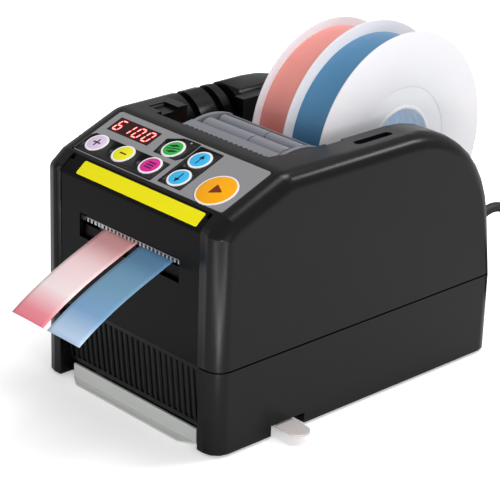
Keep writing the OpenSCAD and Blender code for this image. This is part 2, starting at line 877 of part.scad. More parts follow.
gear_x = right_plate_x + plate_t + 1.4;
gear_w = 4;
module feed_shaft() {
    color("#c4c6c8") cross_rod(left_plate_x - 4, gear_x + gear_w + 1.2, feed_y, feed_z, shaft_r);
}

// Spur gear with involute flanks
addendum = 0.85;
dedendum = 1.2;
backlash = 0.12;
function involute(a) = tan(a) * 180 / PI - a;
function flank(r, base_r) = r <= base_r ? 0 : involute(acos(base_r / r));
module spur(teeth) {
    pitch_r = gear_m * teeth / 2;
    base_r = pitch_r * cos(20);
    tip_r = pitch_r + addendum * gear_m;
    root_r = pitch_r - dedendum * gear_m;
    half_tooth = 90 / teeth - backlash / pitch_r * 90 / PI + involute(20);
    radii = [root_r, max(root_r, base_r), (base_r + tip_r) / 2, (base_r + 3 * tip_r) / 4, tip_r];
    polygon([
        for (t = [0:teeth - 1]) each [
            for (r = radii) let (a = 360 * t / teeth - half_tooth + flank(r, base_r))
                r * [cos(a), sin(a)],
            for (i = [len(radii) - 1:-1:0])
                let (r = radii[i], a = 360 * t / teeth + half_tooth - flank(r, base_r))
                r * [cos(a), sin(a)]
        ]
    ]);
}

// Direction from the feed shaft to the motor, in the side view
mesh_angle = atan2(motor_place.y - feed_z, motor_place.x - feed_y);
module feed_gear() {
    color("#e4e2da")
        difference() {
            union() {
                across(gear_x, gear_x + gear_w)
                    translate([feed_y, feed_z]) rotate(mesh_angle) spur(feed_teeth);
            }
            cross_rod(gear_x - 1, gear_x + gear_w + 1, feed_y, feed_z, shaft_r);
            for (a = [0:60:300])
                cross_rod(gear_x - 1, gear_x + gear_w + 1, feed_y + 9 * cos(a),
                          feed_z + 9 * sin(a), 2.6);
        }
}

module motor_pinion() {
    color("#c9a24a") {
        across(gear_x - 0.3, gear_x + gear_w + 0.3)
            translate(motor_place)
                rotate(mesh_angle + 180 + 180 / pinion_teeth) spur(pinion_teeth);
        cross_rod(right_plate_x - 2, gear_x, motor_place.x, motor_place.y, 1.5);
    }
}

feed_motor_l = 38;
module feed_motor() {
    color("#b4b7ba")
        difference() {
            union() {
                cross_rod(right_plate_x - feed_motor_l, right_plate_x, motor_place.x,
                          motor_place.y, feed_motor_r);
                cross_rod(right_plate_x - feed_motor_l - 2, right_plate_x - feed_motor_l + 1,
                          motor_place.x, motor_place.y, 4);
                cross_rod(right_plate_x - 1, right_plate_x + plate_t, motor_place.x,
                          motor_place.y, 4 - 0.05);
            }
            cross_rod(right_plate_x - 6, right_plate_x + 5, motor_place.x, motor_place.y, 1.55);
            difference() {
                cross_rod(right_plate_x - 12, right_plate_x - 10.8, motor_place.x, motor_place.y,
                          feed_motor_r + 1);
                cross_rod(right_plate_x - 13, right_plate_x - 10, motor_place.x, motor_place.y,
                          feed_motor_r - 0.4);
            }
        }
}

// The hinged frame that presses the ribbon down on the feed roller
frame_x = [-26.6, 42.8];
cheek_t = 2.4;
frame_rear = bay_front + 38.4;
arch_r = 42;
arch_mid = front_y + 77.5;
arch_top = rail_h - 0.4;
guide_place = [feed_y + press_r + guide_r + 0.4, press_z + 1.9];
axle_r = 2;

module cheek_side() {
    intersection() {
        translate([arch_mid, arch_top - arch_r]) circle(r = arch_r);
        union() {
            translate(pivot) circle(r = 5);
            polygon([
                [pivot.x + 1, pivot.y - 4.6], [feed_y - 4, press_z - 4],
                [guide_place.x + 4, press_z - 4], [frame_rear, rail_h - 9],
                [frame_rear, sky], [pivot.x - 3, sky], [pivot.x - 3, pivot.y - 1]
            ]);
        }
    }
}

frame_bar_t = 1.4;
module roller_frame() {
    color("#9c9ca2")
        difference() {
            union() {
                for (x = [frame_x[0], frame_x[1] - cheek_t])
                    across(x, x + cheek_t) cheek_side();
                // Comb plate in front of the press roller
                across(frame_x[0] + 1, frame_x[1] - 1)
                    polygon([
                        for (p = [[-5, 3], [-2, 3], [2.2, 5.2], [2.4, 6.7], [-4.4, 5.7], [-5, 5.3]])
                            pivot + p
                    ]);
                // Rear crossbar, cut from the arch that the cheeks follow
                across(frame_x[0] + 1, frame_x[1] - 1)
                    intersection() {
                        difference() {
                            translate([arch_mid, arch_top - arch_r]) circle(r = arch_r - 0.6);
                            translate([arch_mid, arch_top - arch_r])
                                circle(r = arch_r - 0.6 - frame_bar_t);
                        }
                        translate([guide_place.x + guide_r + gap, feed_z])
                            square([frame_rear - guide_place.x - guide_r - gap - 0.2, sky]);
                    }
                block(frame_x[0] + 1.2, frame_x[1] - 1.2, frame_rear - 1.6, frame_rear - 0.3,
                      rail_h - 8, rail_h - 4);
            }
            // Teeth of the comb plate and the long slot in the rear crossbar
            for (k = [0:16])
                block(frame_x[0] + 3.4 + 3.8 * k, frame_x[0] + 6 + 3.8 * k, pivot.x - 6,
                      pivot.x - 3.9, rail_h - 6, sky);
            block(frame_x[0] + 4, frame_x[1] - 4, frame_rear - 3.2, frame_rear - 2.2,
                  rail_h - 5.5, sky);
            cross_rod(frame_x[0] - 1, frame_x[1] + 1, pivot.x, pivot.y, 2 + fit);
            cross_rod(frame_x[0] - 1, frame_x[1] + 1, feed_y, press_z, axle_r);
            cross_rod(frame_x[0] - 1, frame_x[1] + 1, guide_place.x, guide_place.y, axle_r);
        }
}

module frame_pins() {
    color("#c4c6c8") {
        cross_rod(left_plate_x - 1, frame_x[0] + cheek_t + 0.8, pivot.x, pivot.y, 2);
        cross_rod(frame_x[1] - cheek_t - 0.8, right_plate_x + plate_t + 1, pivot.x, pivot.y, 2);
    }
}

module roller_axles() {
    color("#c4c6c8") {
        cross_rod(frame_x[0], frame_x[1], feed_y, press_z, axle_r);
        cross_rod(frame_x[0], frame_x[1], guide_place.x, guide_place.y, axle_r);
    }
}

// Rollers in two halves on one sleeve
roller_split = 13;
module split_roller(y, z, r) {
    mid = roller_split;
    difference() {
        union() {
            cross_rod(roller_x[0] + 1, mid - 0.5, y, z, r);
            cross_rod(mid + 0.5, roller_x[1] - 1, y, z, r);
            cross_rod(roller_x[0] + 0.4, roller_x[1] - 0.4, y, z, r - 0.8);
        }
        cross_rod(roller_x[0] - 1, roller_x[1] + 1, y, z, axle_r + fit);
    }
}

module press_roller() { color("#a7a7ad") split_roller(feed_y, press_z, press_r); }
module guide_roller() {
    color("#a7a7ad") split_roller(guide_place.x, guide_place.y, guide_r);
}

// Upper and lower guide plates of the chute
chute_t = 1;
chute_open = 1.6;
module chute() {
    low = -chute_open / 2;
    color("#b9bcbe")
        across(plate_inner[0], plate_inner[1]) {
            guide_plate(feed_y - 13, low - chute_t, low);
            guide_plate(feed_y - 9, -low, chute_t - low);
        }
}

// A bent plate along the chute, from the cutter up to y
module guide_plate(y, out0, out1) {
    y0 = cut_y + 3.4;
    n = 6;
    polygon([
        for (k = [0:n]) chute_point(y0 + (y - y0) * k / n, out0),
        for (k = [n:-1:0]) chute_point(y0 + (y - y0) * k / n, out1)
    ]);
}

// Cutter: a fixed blade below the ribbon and a blade that a crank drives down past it
blade_t = 1.2;
fixed_blade_y = [cut_y + 0.1, cut_y + 1.6];
fixed_top = chute_point(cut_y + 1).y - 0.6;
disc_r = 8.4;
fixed_foot = crank_z + disc_r + 5.6;
moving_y = [cut_y - blade_t - 0.05, cut_y - 0.05];
blade_edge = fixed_top + 3.4;
yoke_x = [plate_inner[0] + 0.5, plate_inner[1] - 0.6];
crank_x = 2;
crank_rest = crank_z + crank_r * sin(crank_up);
pin_r = 1.8;
slot_half = pin_r + 0.3;
yoke_top = blade_edge + 9;

module fixed_blade() {
    color("#cfd2d4")
        block(plate_inner[0] + 4, plate_inner[1] - 4, fixed_blade_y[0], fixed_blade_y[1],
              fixed_foot, fixed_top);
}

module moving_blade() {
    color("#cfd2d4")
        translate([0, moving_y[1], 0])
            rotate([90, 0, 0])
                linear_extrude(moving_y[1] - moving_y[0])
                    difference() {
                        translate([yoke_x[0], crank_rest - 7])
                            square([yoke_x[1] - yoke_x[0], yoke_top - crank_rest + 7]);
                        // Window for the ribbon; its upper edge is the blade, sloped for a shearing cut
                        polygon([
                            [yoke_x[0] + 3.4, crank_rest + 7], [yoke_x[1] - 3.4, crank_rest + 7],
                            [yoke_x[1] - 3.4, blade_edge + 1.2], [yoke_x[0] + 3.4, blade_edge]
                        ]);
                        translate([crank_x + crank_r * 0.8, crank_rest])
                            rotate(90) slot_shape(2 * slot_half, 16);
                    }
}

guide_w = 3.6;
module blade_guides() {
    color("#8f9396")
        for (side = [0, 1]) {
            x0 = side == 0 ? plate_inner[0] : plate_inner[1] - guide_w;
            difference() {
                block(x0, x0 + guide_w, moving_y[0] - 1.6, fixed_blade_y[1] + 0.6,
                      fixed_foot - 2, yoke_top - 1);
                block(side == 0 ? x0 + 0.3 : x0 - 1, side == 0 ? x0 + 5 : x0 + 3.3,
                      moving_y[0] - 0.15, moving_y[1] + 0.15, 0, sky);
            }
        }
}

bracket_t = 1.5;
motor_face = cut_y + 6.2;
module cutter_bracket() {
    color("#9fa3a6")
        difference() {
            union() {
                block(plate_inner[0], plate_inner[1], fixed_blade_y[1] + 0.6,
                      fixed_blade_y[1] + 0.6 + bracket_t, fixed_foot, fixed_top - 3);
                block(plate_inner[0], plate_inner[1], fixed_blade_y[1] + 0.6,
                      motor_face + bracket_t, fixed_foot - bracket_t, fixed_foot);
                block(plate_inner[0], plate_inner[1], motor_face, motor_face + bracket_t,
                      crank_z - 16, fixed_foot);
                block(plate_inner[0] + 6, plate_inner[1] - 6, fixed_blade_y[1],
                      fixed_blade_y[1] + 0.7, fixed_foot, fixed_top - 6);
            }
            long_rod(crank_x, motor_face - 5, motor_face + 5, crank_z, 4);
        }
}

module cutter_crank() {
    pin_x = crank_x + crank_r * cos(crank_up);
    color("#c9a24a") {
        long_rod(crank_x, motor_face - 3.2, motor_face - 0.6, crank_z, disc_r);
        long_rod(crank_x, motor_face - 1, motor_face + 4, crank_z, 1.5);
        long_rod(pin_x, moving_y[0] - 0.8, motor_face - 2, crank_rest, pin_r);
    }
}

cutter_motor_r = 11;
cutter_motor_l = 34;
module cutter_motor() {
    color("#b4b7ba")
        difference() {
            union() {
                long_rod(crank_x, motor_face + bracket_t, motor_face + bracket_t + cutter_motor_l,
                         crank_z, cutter_motor_r);
                long_rod(crank_x, motor_face + 0.2, motor_face + bracket_t + 1, crank_z, 3.9);
                long_rod(crank_x, motor_face + cutter_motor_l, motor_face + cutter_motor_l + 4,
                         crank_z, 4);
            }
            long_rod(crank_x, motor_face - 1, motor_face + 6, crank_z, 1.55);
        }
}

// Toothed guard in the outlet, with the lip that the cut ends lie on
comb_pitch = 3;
comb_y = front_y + cover_in + cover_t + 0.1;
module comb_guard() {
    lip = chute_point(comb_y + 1);
    comb_x = [-outlet_w / 2 - 3, outlet_w / 2 + 3];
    teeth_z = chute_point(comb_y).y + 0.8;
    color("#d4d6d8") {
        difference() {
            block(comb_x[0], comb_x[1], comb_y, comb_y + 0.6, teeth_z, teeth_z + 3.4);
            for (k = [0:floor((comb_x[1] - comb_x[0] - 4) / comb_pitch)])
                block(comb_x[0] + 1.6 + comb_pitch * k, comb_x[0] + 3.2 + comb_pitch * k,
                      comb_y - 1, comb_y + 2, 0, teeth_z + 2);
        }
        for (x = [comb_x[0], comb_x[1] - 3.4])
            block(x, x + 3.4, comb_y, comb_y + 0.6, outlet_z - 5, outlet_z + outlet_h + 4);
        block(comb_x[0], comb_x[1], comb_y, comb_y + 0.6, outlet_z - 5, lip.y - 1.4);
        across(plate_inner[0] + guide_w + gap, path_x + 34)
            polygon([
                lip + [-1.02, -1.45], lip + [-0.4, -1.9], lip + [1.5, -1], lip + [1.5, -0.4],
                lip + [-1.02, -0.9]
            ]);
    }
}

// The reel: a spindle in its seats, and a three-armed core in each spool
module reel_spindle() {
    color("#c4c6c8") cross_rod(bay_left_rear - seat_t + 2.4, bay_right + seat_t - 2.4,
                               hub_y, hub_z, spindle_r);
}

hub_wall = 2.4;
module spool_body(x, disc_r) {
    half = spool_pitch / 2 - 0.2;
    core_x = x - 12;
    color("#f1eff4") {
        difference() {
            union() {
                cross_rod(x - half, x + half, hub_y, hub_z, spool_bore_r + hub_wall);
                for (side = [-1, 1])
                    cross_rod(side < 0 ? x - half : x + half - flange_t,
                              side < 0 ? x - half + flange_t : x + half,
                              hub_y, hub_z, disc_r);
            }
            cross_rod(x - half - 1, x + half + 1, hub_y, hub_z, spool_bore_r);
            // Shallow step around the bore
            difference() {
                cross_rod(x + half - 0.35, x + half + 1, hub_y, hub_z, spool_bore_r + 12.6);
                cross_rod(x + half - 1, x + half + 1, hub_y, hub_z, spool_bore_r + 1.6);
            }
        }
        difference() {
            union() {
                cross_rod(core_x, core_x + 14, hub_y, hub_z, spindle_r + 3);
                for (a = [80, 200, 320])
                    translate([core_x, hub_y, hub_z])
                        rotate([a, 0, 0])
                            translate([0.2, spindle_r + 1, -1.1])
                                cube([13.6, spool_bore_r - spindle_r + 0.2, 2.2]);
            }
            cross_rod(core_x - 1, core_x + 15, hub_y, hub_z, spindle_r + fit);
        }
    }
}

module winding(x, wound_r, tint) {
    half = spool_pitch / 2 - 0.2 - flange_t;
    color(tint)
        difference() {
            cross_rod(x - half, x + half, hub_y, hub_z, wound_r);
            cross_rod(x - half - 1, x + half + 1, hub_y, hub_z, spool_bore_r + hub_wall);
        }
}

module spool_left() { spool_body(spool_centres[0], left_flange_r); }
module spool_right() { spool_body(spool_centres[1], flange_r); }
module winding_left() { winding(spool_centres[0], left_winding_r, "#ee9c96"); }
module winding_right() { winding(spool_centres[1], winding_r, "#5b93ba"); }

// Electronics on the floor of the lower housing
module control_board() {
    color("#2f6b3a") {
        block(-22, 38, -30, 30, floor_z + 5, floor_z + 6.6);
        for (x = [-18, 34], y = [-26, 26])
            translate([x, y, floor_z]) cylinder(h = 5.2, r = 3);
    }
    color("#333336") {
        block(-6, 8, -10, 4, floor_z + 6.5, floor_z + 9.5);
        block(-16, 26, 16, 26, floor_z + 6.5, floor_z + 14);
    }
}

module power_supply() {
    color("#b4b7ba") block(-20, 40, 38, 88, floor_z, floor_z + 30);
    color("#c2603a") {
        block(-10, 30, 44, 82, floor_z + 29.9, floor_z + 36);
    }
}

// Metal lever whose end shows through the notch in the right side
lever_w = 12;
lever_out = half_w + 16 - lever_w / 2;
module latch_lever() {
    color("#d4cccb")
        translate([0, 0, lever_z])
            linear_extrude(lever_t)
                difference() {
                    union() {
                        translate(lever_pivot_place) circle(r = lever_w / 2);
                        translate([lever_out, lever_pivot_place.y]) circle(r = lever_w / 2);
                        translate([lever_pivot_place.x, lever_pivot_place.y - lever_w / 2])
                            square([lever_out - lever_pivot_place.x, lever_w]);
                    }
                    translate(lever_pivot_place) circle(r = 2.5 + fit);
                }
}

module lever_pivot() {
    color("#8d8d90")
        translate([lever_pivot_place.x, lever_pivot_place.y, base_z + 1]) {
            cylinder(h = lever_z - base_z - 1.1, r = 2);
            translate([0, 0, lever_z - base_z - 1.1]) cylinder(h = lever_t + 0.4, r = 2.5);
            translate([0, 0, lever_z - base_z - 0.7 + lever_t]) cylinder(h = 1.6, r = 5);
        }
}

rocker_pivot = [rear_y - 1.5, switch_place.y];
rocker_r = 6.2;
module switch_bezel() {
    color("#18181a")
        difference() {
            union() {
                block(switch_place.x - 11, switch_place.x + 11, rear_y + 0.05, rear_y + 1.5,
                      switch_place.y - 8, switch_place.y + 8);
                block(switch_place.x - 9.6, switch_place.x + 9.6, rear_y - 14, rear_y + 1,
                      switch_place.y - 6.4, switch_place.y + 6.4);
            }
            block(switch_place.x - 8, switch_place.x + 8, rear_y - 9, rear_y + 3,
                  switch_place.y - 5.2, switch_place.y + 5.2);
            cross_rod(switch_place.x - 9.2, switch_place.x + 9.2, rocker_pivot.x, rocker_pivot.y,
                      1.2 + fit);
        }
}

// Rocker, at rest with its upper half pressed in
rocker_tilt = 10;
module switch_rocker() {
    color("#b3262a") {
        across(switch_place.x - 7.6, switch_place.x + 7.6)
            translate(rocker_pivot)
                rotate(rocker_tilt)
                    difference() {
                        intersection() {
                            translate([-3.4, -4.6]) square([8, 9.2]);
                            translate([0, 0]) circle(r = 5.1);
                        }
                        translate([22.2, 0]) circle(r = 18.6);
                    }
        cross_rod(switch_place.x - 9, switch_place.x + 9, rocker_pivot.x, rocker_pivot.y, 1.2);
    }
}

// Mains lead: gland, free stretch, coil, tail and plug
gland_out = 26;
gland_end = gland_wall_y + gland_out;
module cord_gland() {
    color("#1a1a1a")
        difference() {
            union() {
                long_rod(gland_x, gland_wall_y - wall - 2.6, gland_wall_y - wall - 1, gland_z,
                         gland_r + 1.4);
                long_rod(gland_x, gland_wall_y - wall - 1.2, gland_wall_y + 1.2, gland_z,
                         gland_r - 0.1);
                long_rod(gland_x, gland_wall_y + 1.1, gland_wall_y + 3.2, gland_z,
                         gland_r + 1.6);
                translate([gland_x, gland_wall_y + 3, gland_z])
                    rotate([-90, 0, 0])
                        cylinder(h = gland_out - 3, r1 = gland_r + 0.6, r2 = cord_r + 0.8);
            }
            for (k = [0:4])
                difference() {
                    long_rod(gland_x, gland_wall_y + 6 + 4 * k, gland_wall_y + 7.4 + 4 * k,
                             gland_z, gland_r + 2);
                    long_rod(gland_x, gland_wall_y, gland_end, gland_z, cord_r + 0.3);
                }
        }
}

// Route of the free stretch, [y, z] in the plane x = gland_x
free_route = [
    [133, 55.6], [138, 57.8], [144.5, 60.6], [151, 61.6], [158.5, 60], [166, 55.5],
    [173, 48.5], [178.5, 39.5], [182, 30],
    [185.5, 19.5], [190.5, 10.5], [198, 4.4]
];
coil_centre = [gland_x + coil_r, 214];
coil_turns = 3.25;
coil_low = cord_r;
layer_rise = coil_pitch;

// A tube of n-sided rings through points; side is the sideways direction at each point
module tube(points, sides, r, n) {
    last = len(points) - 1;
    dirs = [for (i = [0:last]) unit(points[min(i + 1, last)] - points[max(i - 1, 0)])];
    rings = [
        for (i = [0:last])
            let (up = unit(cross(sides[i], dirs[i])))
            for (k = [0:n - 1])
                let (a = 360 * (k + 0.5) / n)
                points[i] + r * (cos(a) * sides[i] + sin(a) * up)
    ];
    faces = [
        [for (k = [0:n - 1]) k],
        [for (k = [n - 1:-1:0]) last * n + k],
        for (i = [0:last - 1], k = [0:n - 1])
            let (a = i * n + k, b = i * n + (k + 1) % n)
            each [[a, a + n, b], [b, a + n, b + n]]
    ];
    polyhedron(rings, faces);
}

module cord_free() {
    route = [for (p = free_route) [gland_x, p.x, p.y]];
    start = [[gland_x, gland_end, gland_z]];
    finish = [[gland_x, coil_centre.y - 2 * cord_r, coil_low]];
    points = concat(start, route, finish);
    color("#151515") tube(points, [for (p = points) [-1, 0, 0]], cord_r, 8);
}

// Angle, radius and height of the coil after t turns: in on the table, up, out again
function coil_point(t) =
    let (inner = coil_r - coil_pitch * coil_turns)
    let (climb = min(max(t - coil_turns, 0), 0.5) * 2)
    let (r = t < coil_turns ? coil_r - coil_pitch * t
           : t < coil_turns + 0.5 ? inner - 0.6 * sin(180 * climb)
           : inner + coil_pitch * (t - coil_turns - 0.5))
    let (a = 180 - 360 * t)
    [coil_centre.x + r * cos(a), coil_centre.y + r * sin(a),
     coil_low + layer_rise * (1 - cos(180 * climb)) / 2];

coil_all = 2 * coil_turns - 0.25;
coil_rings = 24;
coil_end = coil_point(coil_all);
module cord_coil() {
    n = round(coil_all * coil_rings);
    points = concat(
        [coil_point(0) - [0, 2 * cord_r, 0]],
        [for (k = [0:n]) coil_point(coil_all * k / n)],
        [coil_end + [2 * cord_r, 0, 0]]
    );
    last = len(points) - 1;
    dirs = [for (i = [0:last]) unit(points[min(i + 1, last)] - points[max(i - 1, 0)])];
    sides = [for (d = dirs) unit([-d.y, d.x, 0])];
    echo(least_gap = coil_pitch - 2 * cord_r);
    color("#151515") tube(points, sides, cord_r, 6);
}

tail_run = 42;
plug_start = coil_end.x + 2 * cord_r + tail_run;
module cord_tail() {
    points = [
        for (k = [0:10])
            let (drop = (coil_end.z - plug_low) * (1 - cos(18 * min(k, 10))) / 2)
            [coil_end.x + 2 * cord_r + tail_run * k / 10, coil_end.y, coil_end.z - drop]
    ];
    color("#151515") tube(points, [for (p = points) [0, -1, 0]], cord_r, 8);
}

plug_low = 7;
module mains_plug() {
    color("#1a1a1a")
        difference() {
            union() {
                translate([plug_start, coil_end.y, plug_low])
                    rotate([0, 90, 0]) cylinder(h = 14, r1 = cord_r + 0.6, r2 = 5.4);
                hull() {
                    translate([plug_start + 16, coil_end.y, plug_low])
                        cube([6, 12, 10], center = true);
                    translate([plug_start + 34, coil_end.y, plug_low])
                        cube([6, 24, 13.4], center = true);
                }
            }
            for (k = [0:2])
                translate([plug_start + 2 + 3.4 * k, coil_end.y, plug_low])
                    rotate([0, 90, 0])
                        difference() {
                            cylinder(h = 1.2, r = 9);
                            translate([0, 0, -1]) cylinder(h = 4, r = cord_r + 0.4);
                        }
        }
    color("#c9cbcd")
        for (side = [-1, 1])
            translate([plug_start + 36, coil_end.y + side * 9.5, plug_low])
                rotate([0, 90, 0]) cylinder(h = 19, r = 2);
}

upper_housing();
lower_housing();
front_cover();
front_grille();
base_plate();
rubber_feet();
housing_screws();
panel_overlay();
yellow_strip();
display_window();
digit_display();
status_led();
key_board();
key_board_screws();
key_plus();
key_minus();
key_select();
key_mode();
key_up();
key_down();
key_start();
chassis_left();
chassis_right();
feed_bushes();
feed_roller();
feed_shaft();
feed_gear();
motor_pinion();
feed_motor();
roller_frame();
frame_pins();
press_roller();
guide_roller();
roller_axles();
chute();
cutter_bracket();
fixed_blade();
moving_blade();
blade_guides();
cutter_crank();
cutter_motor();
comb_guard();
ribbon_strips();
ribbon_webs();
reel_spindle();
spool_left();
winding_left();
spool_right();
winding_right();
control_board();
power_supply();
latch_lever();
lever_pivot();
switch_bezel();
switch_rocker();
cord_gland();
cord_free();
cord_coil();
cord_tail();
mains_plug();
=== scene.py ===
# %% [markdown]
# # A desktop ribbon and tape dispenser
# The machine feeds ribbon from two spools over a driven roller, cuts it and hands it out at the front.
# Its construction comes from the CAD model. This lesson gives each piece its real look.
# We work in the CAD frame, in metres: +X is to the right, +Y to the rear, +Z up.

# %% Load the construction
import json
import math

import bmesh
import bpy
from mathutils import Matrix, Vector

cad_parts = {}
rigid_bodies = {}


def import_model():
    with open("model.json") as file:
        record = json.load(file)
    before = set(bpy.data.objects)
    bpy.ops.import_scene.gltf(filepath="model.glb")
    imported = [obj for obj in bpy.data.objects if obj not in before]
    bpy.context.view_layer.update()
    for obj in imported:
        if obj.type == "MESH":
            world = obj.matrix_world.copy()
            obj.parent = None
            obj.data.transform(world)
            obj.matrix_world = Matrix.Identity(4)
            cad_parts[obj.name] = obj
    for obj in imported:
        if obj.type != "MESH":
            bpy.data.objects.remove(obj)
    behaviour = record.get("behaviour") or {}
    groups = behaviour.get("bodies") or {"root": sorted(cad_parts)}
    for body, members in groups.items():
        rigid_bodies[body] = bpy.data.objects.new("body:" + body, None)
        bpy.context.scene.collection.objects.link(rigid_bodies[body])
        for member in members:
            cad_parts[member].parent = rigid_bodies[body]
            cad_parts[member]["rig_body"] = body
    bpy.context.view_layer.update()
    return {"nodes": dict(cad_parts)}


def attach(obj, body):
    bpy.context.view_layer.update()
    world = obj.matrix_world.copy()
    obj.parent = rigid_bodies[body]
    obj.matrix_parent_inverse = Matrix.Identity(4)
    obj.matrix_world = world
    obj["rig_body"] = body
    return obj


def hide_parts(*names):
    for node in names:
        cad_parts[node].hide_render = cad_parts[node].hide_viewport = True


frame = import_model()
nodes = frame["nodes"]
MM = 0.001

# %% [markdown]
# ## Small tools
# Colours are written as sRGB hex values, as a maker would read them from a chart.
# The shaders work with linear light, so one function converts them.

# %% Colour and shader tools
def linear(hex_code, alpha=1.0):
    """sRGB hex to the linear colour that the shaders need."""
    out = []
    for i in (1, 3, 5):
        c = int(hex_code[i:i + 2], 16) / 255
        out.append(c / 12.92 if c <= 0.04045 else ((c + 0.055) / 1.055) ** 2.4)
    return (*out, alpha)


def add(tree, kind, settings=None, inputs=None):
    """Adds one node. Inputs are values, or the output sockets that feed them."""
    node = tree.nodes.new(kind)
    for key, value in (settings or {}).items():
        setattr(node, key, value)
    for key, value in (inputs or {}).items():
        if isinstance(value, bpy.types.NodeSocket):
            tree.links.new(value, node.inputs[key])
        else:
            node.inputs[key].default_value = value
    return node


def new_finish(name, hex_code, roughness, **sockets):
    """An empty finish: a Principled shader with its plain numbers set on its own sockets."""
    mat = bpy.data.materials.new(name)
    mat.use_nodes = True
    tree = mat.node_tree
    shader = tree.nodes["Principled BSDF"]
    shader.inputs["Base Color"].default_value = linear(hex_code)
    shader.inputs["Roughness"].default_value = roughness
    for key, value in sockets.items():
        shader.inputs[key.replace("_", " ")].default_value = value
    where = add(tree, "ShaderNodeTexCoord").outputs["Object"]
    return mat, tree, shader, where


def grain_bump(tree, shader, where, size_mm, depth_mm, stretch=(1, 1, 1)):
    """Surface grain of a real size in millimetres. Stretch draws it out into brush lines."""
    placed = add(tree, "ShaderNodeMapping", {}, {"Vector": where, "Scale": stretch})
    noise = add(tree, "ShaderNodeTexNoise", {}, {
        "Vector": placed.outputs["Vector"], "Scale": 1 / (size_mm * MM), "Detail": 3.0, "Roughness": 0.6,
    })
    bump = add(tree, "ShaderNodeBump", {}, {
        "Height": noise.outputs["Fac"], "Distance": depth_mm * MM, "Strength": 1.0,
    })
    tree.links.new(bump.outputs["Normal"], shader.inputs["Normal"])
    return noise


def grained(name, hex_code, roughness, size_mm, depth_mm, stretch=(1, 1, 1), **sockets):
    """A finish of one colour with a surface grain."""
    mat, tree, shader, where = new_finish(name, hex_code, roughness, **sockets)
    grain_bump(tree, shader, where, size_mm, depth_mm, stretch)
    return mat


# %% [markdown]
# The next tools make meshes. Most pieces are flat shapes with a thickness, or turned on an axis.
# Each ends as a plain mesh in its own place, with its object at the origin.

# %% Mesh tools
def new_object(name, bm, finish, smooth=35):
    """Makes an object of a bmesh and shades it smooth up to an angle in degrees."""
    bmesh.ops.recalc_face_normals(bm, faces=bm.faces)
    mesh = bpy.data.meshes.new(name)
    bm.to_mesh(mesh)
    bm.free()
    piece = bpy.data.objects.new(name, mesh)
    bpy.context.scene.collection.objects.link(piece)
    mesh.materials.append(finish)
    mesh.shade_smooth()
    mesh.set_sharp_from_angle(angle=math.radians(smooth))
    return piece


def settle(piece):
    """Turns a piece with its modifiers into a plain mesh."""
    graph = bpy.context.evaluated_depsgraph_get()
    mesh = bpy.data.meshes.new_from_object(piece.evaluated_get(graph))
    piece.modifiers.clear()
    old = piece.data
    piece.data = mesh
    bpy.data.meshes.remove(old)
    return piece


ROUNDED_FROM = math.radians(40)
ROUNDING_STEPS = 2
ROUNDING_ROOM = 2.2


def soften(piece, width_mm=0.0):
    """Rounds the sharp edges that have room for it. Weighted normals keep the flat faces flat."""
    if width_mm:
        bm = bmesh.new()
        bm.from_mesh(piece.data)
        weight = bm.edges.layers.float.new("bevel_weight_edge")
        room = ROUNDING_ROOM * width_mm * MM
        tight = {v for v in bm.verts if any(e.calc_length() < room for e in v.link_edges)}
        for edge in bm.edges:
            if len(edge.link_faces) != 2 or any(v in tight for v in edge.verts):
                continue
            if edge.calc_face_angle(0) > ROUNDED_FROM:
                edge[weight] = 1.0
        bm.to_mesh(piece.data)
        bm.free()
        bevel = piece.modifiers.new("edges", "BEVEL")
        bevel.width = width_mm * MM
        bevel.segments = ROUNDING_STEPS
        bevel.limit_method = "WEIGHT"
        bevel.use_clamp_overlap = False
        bevel.miter_outer = "MITER_ARC"
    weighted = piece.modifiers.new("normals", "WEIGHTED_NORMAL")
    weighted.keep_sharp = True
    return settle(piece)


def give(piece, body, *replaced, slot=None):
    """Says which body a piece rides on and which CAD nodes it stands for."""
    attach(piece, body)
    if replaced:
        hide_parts(*replaced)
    return piece


MERGE_MM = 0.002
FLAT_DEG = 0.3


def dressed_copy(name, node, finish, width_mm, slot):
    """A merged copy of a CAD node with soft edges. It rides as the node does and stands for it."""
    bm = bmesh.new()
    bm.from_mesh(nodes[node].data)
    bmesh.ops.remove_doubles(bm, verts=bm.verts, dist=MERGE_MM * MM)
    bmesh.ops.dissolve_limit(bm, angle_limit=math.radians(FLAT_DEG), verts=bm.verts, edges=bm.edges)
    piece = soften(new_object(name, bm, finish), width_mm)
    return give(piece, nodes[node]["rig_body"], node, slot=slot)


# %% Flat and turned shapes
def prism(bm, outline, low, high, place):
    """A flat shape with a thickness. Place turns (u, v, height) into a point in millimetres."""
    bottom = [bm.verts.new(Vector(place(u, v, low)) * MM) for u, v in outline]
    top = [bm.verts.new(Vector(place(u, v, high)) * MM) for u, v in outline]
    bm.faces.new(top)
    bm.faces.new(bottom[::-1])
    n = len(outline)
    for i in range(n):
        j = (i + 1) % n
        bm.faces.new((bottom[i], bottom[j], top[j], top[i]))


def turn(bm, profile, place, steps, closed=False):
    """Turns a profile of (along, radius) round an axis. Place takes (along, side, side)."""
    angles = [2 * math.pi * k / steps for k in range(steps)]
    rings = []
    for along, radius in profile:
        around = [(radius * math.cos(a), radius * math.sin(a)) for a in angles] if radius else [(0, 0)]
        rings.append([bm.verts.new(Vector(place(along, u, v)) * MM) for u, v in around])
    pairs = list(zip(rings, rings[1:]))
    if closed:
        pairs.append((rings[-1], rings[0]))
    for first, second in pairs:
        for k in range(steps):
            j = (k + 1) % steps
            corners = (
                first[k % len(first)], first[j % len(first)],
                second[j % len(second)], second[k % len(second)],
            )
            face = list(dict.fromkeys(corners))
            if len(face) > 2:
                bm.faces.new(face)


def turned(name, profile, place, steps, finish, smooth, closed=True):
    """One turned piece as an object of its own."""
    bm = bmesh.new()
    turn(bm, profile, place, steps, closed)
    return new_object(name, bm, finish, smooth)


